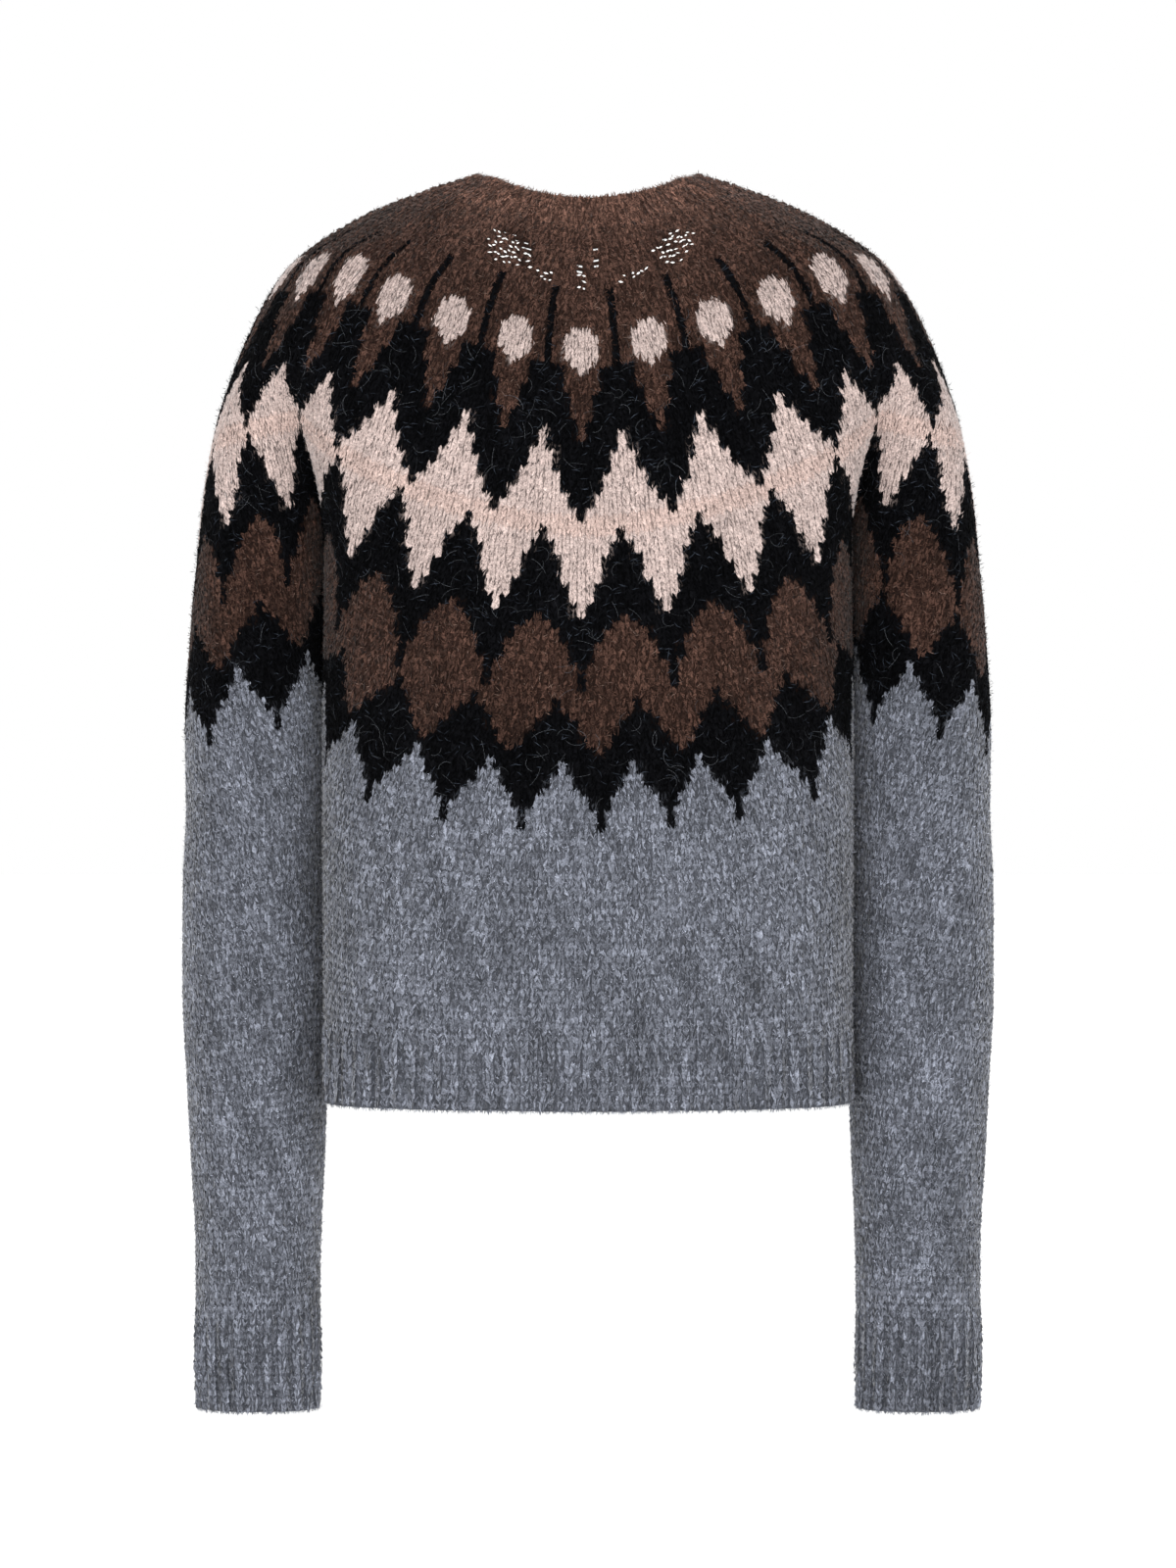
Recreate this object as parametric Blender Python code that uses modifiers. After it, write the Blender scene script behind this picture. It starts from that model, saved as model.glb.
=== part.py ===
"""A knitted cardigan with a round yoke, hollow and filled out as it is when worn, arms hanging.

Metres. The front faces -Y, the wearer's left is +X and Z is up. The origin lies on the line of
the shoulders, midway between the two sides of the neck. Every piece of cloth is one wall, drawn
by its outer face and thickened inwards.

A course is a row of knitting, named by how far below the neck edge it is knitted at the centre
back. A share runs along a course: over a quarter of the yoke or body it is 0 at the centre of
the back or front and 1 at the side, and over half a sleeve it is 0 under the arm and 1 outside.
"""

from math import pi

import bpy
import numpy as np
from mathutils import Vector

WALL = 0.003
SEAM_GAP = 0.0004
BAND_WIDTH = 0.030
BAND_LAP = 0.002
BAND_LIFT = 0.0036
PANEL_EDGE = 0.5 * (BAND_WIDTH + SEAM_GAP)
BUTTON_RADIUS = 0.009
BUTTON_THICK = 0.0036
BUTTON_EDGE = 0.0008
BUTTON_BRIM = 0.0030
BUTTON_DISH = 0.0009
BUTTON_RISE = 0.0004
BUTTON_SIDES = 24
BUTTON_COUNT = 7

NECK_EDGE = 0.0
NECKBAND_END = 0.023
DIVISION = 0.285
HEM_RIB_TOP = 0.526
HEM = 0.571
CUFF_RIB_TOP = 0.735
CUFF_END = 0.797

CORNER_SHARE = 0.63
UNDERARM_BACK_Y = 0.020
UNDERARM_FRONT_Y = -0.044
SIDE_Y = -0.012
TORSO_HALF_WIDTH = 0.1604
SLEEVE_INNER_X = 0.1609
SLEEVE_HALF_DEPTH = 0.060
SLEEVE_ROUNDNESS = 2.5
SMILE_POWER = 1.8
TUCK_POWER = 8
CROWDING = 1.4
WEB_SHARE = 0.006
SHARE_NUDGE = 0.001
COURSE_NUDGE = 0.001
MERGE = 0.00005
LINE_POINTS = 400

# A course rises from the centre to the underarm corner by its smile, spread over its length,
# and its tuck, all near the corner. Fold is 0 where the ring is one oval round the shoulders
# and 1 where it has parted into a body and two sleeves, joined by a narrow web at each corner.
# Body and sleeves start a little lower at the corner than the yoke ends, clear of the web.
YOKE_COLUMNS = (
    "course", "side_x", "side_y", "side_z", "back_y", "back_z", "back_smile", "back_tuck",
    "front_y", "front_z", "front_smile", "front_tuck", "power", "roundness", "fold",
)
YOKE_ROWS = (
    (0.000, 0.0670, -0.003, 0.0200, 0.055, -0.0005, 0.0145, 0.000,
     -0.065, -0.0450, 0.037, 0.000, 1.80, 2.1, 0.00),
    (0.023, 0.0953, -0.004, 0.0111, 0.065, -0.0195, 0.0218, 0.000,
     -0.076, -0.0655, 0.046, 0.000, 1.50, 2.2, 0.00),
    (0.060, 0.1388, -0.006, -0.0064, 0.079, -0.0515, 0.0345, 0.000,
     -0.092, -0.0985, 0.063, 0.000, 1.20, 2.4, 0.00),
    (0.105, 0.1847, -0.008, -0.0398, 0.092, -0.0925, 0.0490, 0.000,
     -0.109, -0.1400, 0.075, 0.000, 1.50, 2.7, 0.00),
    (0.150, 0.2093, -0.010, -0.0820, 0.099, -0.1360, 0.041, 0.000,
     -0.121, -0.1835, 0.083, 0.000, 1.20, 2.9, 0.00),
    (0.180, 0.2205, -0.011, -0.1140, 0.102, -0.1650, 0.053, 0.000,
     -0.127, -0.2130, 0.097, 0.000, 1.50, 3.0, 0.12),
    (0.210, 0.2289, -0.012, -0.1450, 0.104, -0.1940, 0.066, 0.000,
     -0.131, -0.2425, 0.112, 0.000, 1.75, 3.0, 0.35),
    (0.250, 0.2367, -0.012, -0.1895, 0.106, -0.2330, 0.066, 0.007,
     -0.135, -0.2820, 0.113, 0.009, 1.80, 2.9, 0.75),
    (0.285, 0.2405, -0.012, -0.2285, 0.107, -0.2670, 0.052, 0.025,
     -0.137, -0.3170, 0.095, 0.032, 1.80, 2.8, 1.00),
)
TORSO_COLUMNS = (
    "course", "half_width", "back_y", "back_z", "back_smile", "back_tuck",
    "front_y", "front_z", "front_smile", "front_tuck", "roundness",
)
TORSO_ROWS = (
    (0.285, 0.1604, 0.107, -0.267, 0.052, 0.023, -0.137, -0.317, 0.095, 0.030, 2.8),
    (0.311, 0.1602, 0.107, -0.293, 0.042, 0.029, -0.137, -0.343, 0.092, 0.029, 2.8),
    (0.378, 0.1600, 0.106, -0.360, 0.036, 0.020, -0.134, -0.404, 0.078, 0.022, 2.8),
    (0.440, 0.1600, 0.103, -0.422, 0.024, 0.014, -0.130, -0.452, 0.052, 0.016, 2.8),
    (0.500, 0.1600, 0.099, -0.481, 0.013, 0.006, -0.126, -0.502, 0.032, 0.008, 2.7),
    (0.526, 0.1600, 0.0975, -0.5055, 0.0075, 0.003, -0.124, -0.521, 0.021, 0.005, 2.7),
    (0.571, 0.1605, 0.096, -0.549, 0.001, 0.000, -0.122, -0.555, 0.007, 0.000, 2.7),
)
SLEEVE_COLUMNS = (
    "course", "inner_z", "outer_z", "inner_x", "outer_x", "middle_y", "half_depth", "roundness",
)
SLEEVE_ROWS = (
    (0.285, -0.192, -0.2285, 0.1609, 0.2405, -0.0120, 0.060, 2.5),
    (0.311, -0.219, -0.2565, 0.1613, 0.2435, -0.0125, 0.060, 2.4),
    (0.378, -0.290, -0.3210, 0.1616, 0.2470, -0.0140, 0.058, 2.3),
    (0.430, -0.345, -0.3720, 0.1616, 0.2460, -0.0155, 0.055, 2.2),
    (0.480, -0.398, -0.4200, 0.1618, 0.2475, -0.0170, 0.052, 2.2),
    (0.540, -0.462, -0.4800, 0.1620, 0.2475, -0.0190, 0.048, 2.2),
    (0.600, -0.526, -0.5400, 0.1625, 0.2450, -0.0210, 0.044, 2.2),
    (0.650, -0.580, -0.5900, 0.1640, 0.2430, -0.0230, 0.041, 2.2),
    (0.690, -0.623, -0.6300, 0.1660, 0.2413, -0.0240, 0.038, 2.2),
    (0.735, -0.671, -0.6740, 0.1670, 0.2420, -0.0250, 0.036, 2.2),
    (0.765, -0.703, -0.7050, 0.1665, 0.2430, -0.0255, 0.035, 2.2),
    (0.797, -0.738, -0.7380, 0.1670, 0.2425, -0.0260, 0.034, 2.2),
)

# Rows of facets, by course
NECKBAND_COURSES = (NECK_EDGE, 0.5 * NECKBAND_END, NECKBAND_END)
YOKE_COURSES = (NECKBAND_END, 0.041, 0.060, 0.082, 0.105, 0.128, 0.150, 0.180, 0.210, 0.230,
                0.250, 0.268, DIVISION)
TORSO_COURSES = (DIVISION, 0.311, 0.344, 0.378, 0.409, 0.440, 0.485, HEM_RIB_TOP)
HEM_COURSES = (HEM_RIB_TOP, 0.549, HEM)
SLEEVE_COURSES = (DIVISION, 0.311, 0.344, 0.378, 0.430, 0.480, 0.540, 0.600, 0.650, 0.690,
                  CUFF_RIB_TOP)
CUFF_COURSES = (CUFF_RIB_TOP, 0.765, CUFF_END)

# Columns of facets
TORSO_FACETS = 8
UNDERARM_FACETS = 2
SLEEVE_FACETS = 6
BAND_FACETS = 2

BROWN = (0.088, 0.048, 0.036)
GREY = (0.165, 0.178, 0.208)
HORN = (0.045, 0.030, 0.024)


def slopes(x, y):
    """The slope at each row for a smooth curve that never overshoots the rows' values."""
    step = np.diff(y) / np.diff(x)
    before, after = step[:-1], step[1:]
    same_way = before * after > 0
    total = np.where(same_way, before + after, 1)
    return np.concatenate([step[:1], np.where(same_way, 2 * before * after / total, 0), step[-1:]])


def reader(columns, rows):
    """A function of a course and a column's name that reads the table smoothly between rows."""
    table = np.array(rows, float)
    course = table[:, 0]

    def value(name, at):
        y = table[:, columns.index(name)]
        slope = slopes(course, y)
        i = int(np.clip(np.searchsorted(course, at) - 1, 0, len(course) - 2))
        span = course[i + 1] - course[i]
        u = (at - course[i]) / span
        return (
            y[i] * (1 + 2 * u) * (1 - u) ** 2
            + y[i + 1] * u * u * (3 - 2 * u)
            + span * (slope[i] * u * (1 - u) ** 2 - slope[i + 1] * u * u * (1 - u))
        )

    return value


yoke_at = reader(YOKE_COLUMNS, YOKE_ROWS)
torso_at = reader(TORSO_COLUMNS, TORSO_ROWS)
sleeve_at = reader(SLEEVE_COLUMNS, SLEEVE_ROWS)


def oval(half_x, centre_y, end_y, roundness, first=0.0, last=0.5 * pi):
    """Points (x, y) of a rounded oval, by default the quarter from its end to its side."""
    angle = np.linspace(first, last, LINE_POINTS)
    sine, cosine = np.sin(angle), np.cos(angle)
    power = 2 / roundness
    x = half_x * np.sign(sine) * np.abs(sine) ** power
    y = centre_y + (end_y - centre_y) * np.sign(cosine) * np.abs(cosine) ** power
    return np.stack([x, y], 1)


def lengths(line):
    return np.concatenate([[0], np.cumsum(np.linalg.norm(np.diff(line, axis=0), axis=1))])


def along(line, share):
    """The points at these shares of a line's length."""
    run = lengths(line)
    at = np.asarray(share) * run[-1]
    return np.stack([np.interp(at, run, line[:, 0]), np.interp(at, run, line[:, 1])], 1)


def share_at_y(line, y):
    """The share of its length at which a line passes y, nearest its start."""
    run = lengths(line)
    i = int(np.argmax((line[:-1, 1] - y) * (line[1:, 1] - y) <= 0))
    part = (y - line[i, 1]) / (line[i + 1, 1] - line[i, 1])
    return (run[i] + part * (run[i + 1] - run[i])) / run[-1]


def torso_oval(half_width, end_y, roundness):
    return oval(half_width, SIDE_Y, end_y, roundness)


def sleeve_half_oval(inner_x, outer_x, middle_y, depth, roundness):
    """Half of a sleeve's outline, from under the arm to outside; depth is signed, + at the back."""
    line = oval(0.5 * (outer_x - inner_x), middle_y, middle_y + depth, roundness, -0.5 * pi, 0.5 * pi)
    return line + (0.5 * (inner_x + outer_x), 0)


def corner_y(side):
    return UNDERARM_BACK_Y if side == "back" else UNDERARM_FRONT_Y


def torso_corner(side):
    """The share of a body quarter at which the underarm begins."""
    end_y = torso_at(f"{side}_y", DIVISION)
    line = torso_oval(TORSO_HALF_WIDTH, end_y, torso_at("roundness", DIVISION))
    return share_at_y(line, corner_y(side))


def sleeve_corner(side):
    """The share of a half sleeve at which the underarm ends."""
    depth = SLEEVE_HALF_DEPTH if side == "back" else -SLEEVE_HALF_DEPTH
    outer_x = sleeve_at("outer_x", DIVISION)
    line = sleeve_half_oval(SLEEVE_INNER_X, outer_x, SIDE_Y, depth, SLEEVE_ROUNDNESS)
    return share_at_y(line, corner_y(side))


CORNERS = {(part, side): find(side) for part, find in (("torso", torso_corner), ("sleeve", sleeve_corner))
           for side in ("back", "front")}


def course_height(end_z, smile, tuck, power, part):
    """Height of a course at a part, 0 to 1, of the way from its centre to the corner."""
    return end_z + smile * part**power + tuck * part**TUCK_POWER


def yoke_quarter(side, course, share):
    """Points of a quarter of the yoke, on the wearer's left, at the shares of a course."""
    share = np.asarray(share, float)
    get = {name: yoke_at(name, course) for name in YOKE_COLUMNS[1:]}
    end_y, end_z = get[f"{side}_y"], get[f"{side}_z"]
    depth = SLEEVE_HALF_DEPTH if side == "back" else -SLEEVE_HALF_DEPTH
    whole = along(oval(get["side_x"], get["side_y"], end_y, get["roundness"]), share)

    body_end, arm_start = CORNER_SHARE - WEB_SHARE, CORNER_SHARE + WEB_SHARE
    to_corner = np.clip(share / body_end, 0, 1)
    past_corner = np.clip((share - arm_start) / (1 - arm_start), 0, 1)
    across_web = np.clip((share - body_end) / (arm_start - body_end), 0, 1)[:, None]
    torso_share = CORNERS["torso", side]
    sleeve_share = CORNERS["sleeve", side]
    body = along(torso_oval(TORSO_HALF_WIDTH, end_y, get["roundness"]), to_corner * torso_share)
    arm = along(
        sleeve_half_oval(SLEEVE_INNER_X, get["side_x"], get["side_y"], depth, SLEEVE_ROUNDNESS),
        sleeve_share + past_corner * (1 - sleeve_share),
    )
    parted = body + across_web * (arm - body)

    plan = whole + get["fold"] * (parted - whole)
    smile, tuck = get[f"{side}_smile"], get[f"{side}_tuck"]
    height = course_height(end_z, smile, tuck, get["power"], to_corner)
    height = height + (get["side_z"] - (end_z + smile + tuck)) * past_corner
    return np.column_stack([plan, height])


def torso_quarter(side, course, share):
    """Points of a quarter of the body, on the wearer's left, at the shares of a course."""
    share = np.asarray(share, float)
    get = {name: torso_at(name, course) for name in TORSO_COLUMNS[1:]}
    line = torso_oval(get["half_width"], get[f"{side}_y"], get["roundness"])
    part = np.clip(share / CORNERS["torso", side], 0, 1)
    height = course_height(
        get[f"{side}_z"], get[f"{side}_smile"], get[f"{side}_tuck"], SMILE_POWER, part
    )
    return np.column_stack([along(line, share), height])


def sleeve_half(side, course, share):
    """Points of the back or front half of the left sleeve at the shares of a course."""
    share = np.asarray(share, float)
    get = {name: sleeve_at(name, course) for name in SLEEVE_COLUMNS[1:]}
    depth = get["half_depth"] if side == "back" else -get["half_depth"]
    line = sleeve_half_oval(get["inner_x"], get["outer_x"], get["middle_y"], depth, get["roundness"])
    corner = CORNERS["sleeve", side]
    part = np.clip((share - corner) / (1 - corner), 0, 1)
    height = get["inner_z"] + (get["outer_z"] - get["inner_z"]) * part
    return np.column_stack([along(line, share), height])


def corner_columns(form, side):
    """Shares at which a form has an underarm corner, each with the way x faces there."""
    if form is yoke_quarter:
        return (CORNER_SHARE - WEB_SHARE, 1), (CORNER_SHARE + WEB_SHARE, -1)
    if form is torso_quarter:
        return ((CORNERS["torso", side], 1),)
    return ((CORNERS["sleeve", side], -1),)


def faced(form, side, course, share):
    """Rows of a point and the unit normal there, away from the wearer, at shares of a course.

    Where the yoke meets body and sleeves the normals lie level, the same on both edges.
    """
    share = np.asarray(share, float)
    away = 1 if side == "back" else -1
    down = form(side, course + COURSE_NUDGE, share) - form(side, course - COURSE_NUDGE, share)
    across = form(side, course, share + SHARE_NUDGE) - form(side, course, share - SHARE_NUDGE)
    normal = away * np.cross(across, down)
    if abs(course - DIVISION) < SEAM_GAP:
        normal = away * np.cross(across, (0, 0, -1))
        for column, way in corner_columns(form, side):
            normal[np.isclose(share, column)] = (way, away, 0)
    normal /= np.linalg.norm(normal, axis=1, keepdims=True)
    return np.hstack([form(side, course, share), normal])


def mirrored(rows):
    return rows * (-1, 1, 1, -1, 1, 1)


def steps(first, last, count):
    return np.linspace(first, last, count + 1)


def crowded(first, last, count):
    """Steps that grow shorter towards the last, where the body turns most."""
    return last - (last - first) * (1 - steps(0, 1, count)) ** CROWDING


def yoke_shares(edge):
    """Columns over a quarter of the yoke, from its edge or centre to the side."""
    body = crowded(edge, CORNER_SHARE - WEB_SHARE, TORSO_FACETS)
    return np.concatenate([body, steps(CORNER_SHARE + WEB_SHARE, 1, SLEEVE_FACETS)])


def torso_shares(side, edge):
    """Columns over a quarter of the body, under the yoke's where the two meet."""
    corner = CORNERS["torso", side]
    body = crowded(edge, corner, TORSO_FACETS)
    return np.concatenate([body, steps(corner, 1, UNDERARM_FACETS)[1:]])


def sleeve_shares(side):
    corner = CORNERS["sleeve", side]
    return np.concatenate([steps(0, corner, UNDERARM_FACETS)[:-1], steps(corner, 1, SLEEVE_FACETS)])


def share_at_x(form, course, x):
    """The share at which a front course is this far from the centre."""
    near = steps(0, 0.5, LINE_POINTS)
    return np.interp(x, form("front", course, near)[:, 0], near)


def trimmed(courses, open_top=False, open_bottom=False):
    """The courses, with half a seam's gap taken off each end that meets another piece."""
    row = np.array(courses, float)
    row[0] += 0 if open_top else 0.5 * SEAM_GAP
    row[-1] -= 0 if open_bottom else 0.5 * SEAM_GAP
    return row


def yoke_rows(courses):
    """Courses of the yoke or neckband, from the left front edge round the back to the right."""
    rows = []
    for course in courses:
        edge = share_at_x(yoke_quarter, course, PANEL_EDGE)
        front = faced(yoke_quarter, "front", course, yoke_shares(edge))
        back = faced(yoke_quarter, "back", course, yoke_shares(0))
        left = np.concatenate([front, back[-2::-1]])
        rows.append(np.concatenate([left, mirrored(left)[-2::-1]]))
    return np.array(rows)


def side_trimmed(shares, side):
    """Torso columns with half a seam's gap taken off at the side."""
    end = torso_quarter(side, DIVISION, steps(0, 1, LINE_POINTS))
    shares[-1] -= 0.5 * SEAM_GAP / lengths(end[:, :2])[-1]
    return shares


def back_rows(courses):
    rows = []
    for course in courses:
        left = faced(torso_quarter, "back", course, side_trimmed(torso_shares("back", 0), "back"))
        rows.append(np.concatenate([left[::-1], mirrored(left)[1:]]))
    return np.array(rows)


def front_rows(courses):
    """Courses of the left front, from the band to the side."""
    rows = []
    for course in courses:
        edge = share_at_x(torso_quarter, course, PANEL_EDGE)
        shares = side_trimmed(torso_shares("front", edge), "front")
        rows.append(faced(torso_quarter, "front", course, shares))
    return np.array(rows)


def sleeve_rows(courses):
    """Courses of the left sleeve, closed round, from under the arm by the front."""
    rows = []
    for course in courses:
        front = faced(sleeve_half, "front", course, sleeve_shares("front"))
        back = faced(sleeve_half, "back", course, sleeve_shares("back"))
        rows.append(np.concatenate([front, back[-2:0:-1]]))
    return np.array(rows)


def band_form(course):
    return yoke_quarter if course < DIVISION else torso_quarter


def strip_rows(courses, left_edge, right_edge, lift):
    """Courses of a strip down the centre front between two distances from it, + to the left,
    lifted off the front's own face."""
    rows = []
    for course in courses:
        form = band_form(course)
        row = []
        for distance in steps(right_edge, left_edge, BAND_FACETS):
            point = faced(form, "front", course, [share_at_x(form, course, abs(distance))])
            row.append((mirrored(point) if distance < 0 else point)[0])
        rows.append(row)
    rows = np.array(rows)
    rows[:, :, :3] += lift * rows[:, :, 3:]
    return rows


def new_material(name, colour, roughness):
    material = bpy.data.materials.new(name)
    material.use_nodes = True
    shader = material.node_tree.nodes["Principled BSDF"]
    shader.inputs["Base Color"].default_value = (*colour, 1)
    shader.inputs["Roughness"].default_value = roughness
    shader.inputs["Metallic"].default_value = 0
    return material


def reversed_face(face):
    """The face turned over, cut along the same diagonal."""
    return [face[0], *face[:0:-1]]


def cloth(name, rows, material, closed=False, flip=False, both_halves=False):
    """A wall of cloth: the face these courses draw and, a wall's thickness inside, its lining face.

    A piece of both halves has the diagonals of its second half mirrored.
    """
    count, width = rows.shape[:2]
    outer = rows[:, :, :3].reshape(-1, 3)
    inner = outer - WALL * rows[:, :, 3:].reshape(-1, 3)
    under = len(outer)
    spans = [(column, (column + 1) % width) for column in range(width if closed else width - 1)]
    faces = []
    for row in range(count - 1):
        top, bottom = row * width, (row + 1) * width
        for a, b in spans:
            face = [bottom + a, bottom + b, top + b, top + a]
            if both_halves and a >= width // 2:
                face = face[1:] + face[:1]
            faces += [face, [under + i for i in reversed_face(face)]]
    last = (count - 1) * width
    for a, b in spans:
        faces.append([a, b, under + b, under + a])
        faces.append([last + b, last + a, under + last + a, under + last + b])
    if not closed:
        for row in range(count - 1):
            a, b = row * width, (row + 1) * width
            faces.append([b, a, under + a, under + b])
            a, b = a + width - 1, b + width - 1
            faces.append([a, b, under + b, under + a])
    mesh = bpy.data.meshes.new(name)
    mesh.from_pydata(
        [tuple(v) for v in np.vstack([outer, inner])],
        [],
        [reversed_face(face) if flip else face for face in faces],
    )
    mesh.shade_smooth()
    mesh.materials.append(material)
    piece = bpy.data.objects.new(name, mesh)
    garment.objects.link(piece)
    piece.parent = stand
    return piece


def on_strip(courses, rows, course, x):
    """The point of a strip's outer face at a course and a distance from the centre."""
    line = np.array([[np.interp(course, courses, rows[:, column, axis]) for axis in range(3)]
                     for column in range(rows.shape[1])])
    return Vector([np.interp(x, line[:, 0], line[:, axis]) for axis in range(3)])


def add_buttons(courses, rows, material):
    """Buttons down the right band, evenly spaced from the neckband to the hem rib."""
    half = 0.5 * BUTTON_THICK
    flank = half - BUTTON_EDGE
    rim = BUTTON_RADIUS - BUTTON_EDGE
    dish = BUTTON_RADIUS - BUTTON_BRIM
    profile = [(0, half - BUTTON_DISH), (dish, half - BUTTON_DISH), (dish + BUTTON_EDGE, half), (rim, half),
               (BUTTON_RADIUS, flank), (BUTTON_RADIUS, -flank), (rim, -half), (0, -half)]
    mesh = bpy.data.meshes.new("button")
    mesh.from_pydata([(x, 0, z) for x, z in profile], [], [(i, i + 1) for i in range(len(profile) - 1)])
    mesh.materials.append(material)
    middle_x = -0.5 * BAND_LAP
    reach = steps(-BUTTON_RADIUS, BUTTON_RADIUS, BUTTON_SIDES)
    first, last = 0.5 * NECKBAND_END, 0.5 * (HEM_RIB_TOP + HEM)
    for number, course in enumerate(np.linspace(first, last, BUTTON_COUNT), 1):
        middle, above, below = (
            on_strip(courses, rows, course + nudge, middle_x) for nudge in (0, reach[0], reach[-1])
        )
        outwards = Vector((-1, 0, 0)).cross(below - above).normalized()
        under = [on_strip(courses, rows, course + nudge, middle_x + x) for nudge in reach for x in reach]
        height = max((point - middle).dot(outwards) for point in under)
        button = bpy.data.objects.new(f"button_{number}", mesh)
        garment.objects.link(button)
        button.parent = stand
        button.location = middle + outwards * (height + BUTTON_RISE + half)
        button.rotation_euler = outwards.to_track_quat("Z", "Y").to_euler()
        turn = button.modifiers.new("turned", "SCREW")
        turn.steps = turn.render_steps = BUTTON_SIDES
        turn.use_merge_vertices = True
        turn.merge_threshold = MERGE
        turn.use_normal_calculate = True


for old in list(bpy.data.objects):
    bpy.data.objects.remove(old, do_unlink=True)
garment = bpy.data.collections.new("cardigan")
bpy.context.scene.collection.children.link(garment)
stand = bpy.data.objects.new("cardigan_origin", None)
garment.objects.link(stand)

brown_knit = new_material("brown_knit", BROWN, 0.95)
grey_knit = new_material("grey_knit", GREY, 0.95)
horn = new_material("horn", HORN, 0.45)

cloth("neckband", yoke_rows(trimmed(NECKBAND_COURSES, open_top=True)), brown_knit, both_halves=True)
cloth("yoke", yoke_rows(trimmed(YOKE_COURSES)), brown_knit, both_halves=True)

torso_courses = trimmed(TORSO_COURSES)
hem_courses = trimmed(HEM_COURSES, open_bottom=True)
cloth("back", back_rows(torso_courses), grey_knit, both_halves=True)
cloth("hem_rib_back", back_rows(hem_courses), grey_knit, both_halves=True)
for name, courses in (("front", torso_courses), ("hem_rib_front", hem_courses)):
    rows = front_rows(courses)
    cloth(f"{name}_left", rows, grey_knit)
    cloth(f"{name}_right", mirrored(rows), grey_knit, flip=True)

for name, courses in (
    ("sleeve", trimmed(SLEEVE_COURSES)),
    ("cuff", trimmed(CUFF_COURSES, open_bottom=True)),
):
    rows = sleeve_rows(courses)
    cloth(f"{name}_left", rows, grey_knit, closed=True)
    cloth(f"{name}_right", mirrored(rows), grey_knit, closed=True, flip=True)

band_courses = np.unique(np.concatenate([NECKBAND_COURSES, YOKE_COURSES, TORSO_COURSES, HEM_COURSES]))
inner_edge = 0.5 * (BAND_WIDTH - SEAM_GAP)
cloth("band_left", strip_rows(band_courses, inner_edge, -inner_edge, 0), grey_knit)
over_edges = (0.5 * BAND_WIDTH, -0.5 * BAND_WIDTH - BAND_LAP)
over_rows = strip_rows(band_courses, *over_edges, BAND_LIFT)
cloth("band_right", over_rows, grey_knit)
add_buttons(band_courses, over_rows[:, :, :3], horn)
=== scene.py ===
"""Looks of a knitted cardigan with a round yoke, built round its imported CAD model.

Metres. The front faces -Y, the wearer's left is +X and Z is up. Every piece of knitting is a
ground wall a little thinner than its CAD solid, with its stitches and its wool fuzz on it.

A course is a row of knitting, named by how far below the neck edge it is knitted at the centre
back. A share runs along a quarter of a course. A place is a length along a course: on yoke, body
and bands from the centre back or front towards the wearer's left, and on a sleeve from the
outside of the arm, by the back, to the underarm.
"""

from functools import lru_cache
from math import pi

import bpy
import numpy as np
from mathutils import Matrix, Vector
from mathutils.geometry import delaunay_2d_cdt


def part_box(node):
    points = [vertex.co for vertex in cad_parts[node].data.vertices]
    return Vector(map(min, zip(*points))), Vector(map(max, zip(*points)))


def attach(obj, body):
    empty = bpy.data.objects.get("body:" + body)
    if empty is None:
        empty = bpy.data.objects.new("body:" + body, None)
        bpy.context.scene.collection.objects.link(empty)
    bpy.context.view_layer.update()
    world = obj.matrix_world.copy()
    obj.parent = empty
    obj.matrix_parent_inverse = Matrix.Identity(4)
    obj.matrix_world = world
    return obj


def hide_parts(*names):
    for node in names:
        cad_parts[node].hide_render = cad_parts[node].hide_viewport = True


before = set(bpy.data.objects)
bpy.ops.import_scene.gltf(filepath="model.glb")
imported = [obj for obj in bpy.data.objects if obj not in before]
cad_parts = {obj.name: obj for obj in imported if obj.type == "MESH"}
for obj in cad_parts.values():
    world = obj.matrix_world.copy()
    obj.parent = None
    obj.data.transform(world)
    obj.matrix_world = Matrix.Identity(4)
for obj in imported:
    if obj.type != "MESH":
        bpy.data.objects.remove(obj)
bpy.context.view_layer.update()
random = np.random.default_rng(20)

# ---------------------------------------------------------------- the form, as in part.py

NECK_EDGE = 0.0
NECKBAND_END = 0.023
DIVISION = 0.285
HEM_RIB_TOP = 0.526
HEM = 0.571
CUFF_RIB_TOP = 0.735
CUFF_END = 0.797
SEAM_GAP = 0.0004
BAND_WIDTH = 0.030
BAND_LAP = 0.002
BAND_LIFT = 0.0036
PANEL_EDGE = 0.5 * (BAND_WIDTH + SEAM_GAP)

CORNER_SHARE = 0.63
UNDERARM_BACK_Y = 0.020
UNDERARM_FRONT_Y = -0.044
SIDE_Y = -0.012
TORSO_HALF_WIDTH = 0.1604
SLEEVE_INNER_X = 0.1609
SLEEVE_HALF_DEPTH = 0.060
SLEEVE_ROUNDNESS = 2.5
SMILE_POWER = 1.8
TUCK_POWER = 8
WEB_SHARE = 0.006
SHARE_NUDGE = 0.001
COURSE_NUDGE = 0.001
LINE_POINTS = 400

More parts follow.
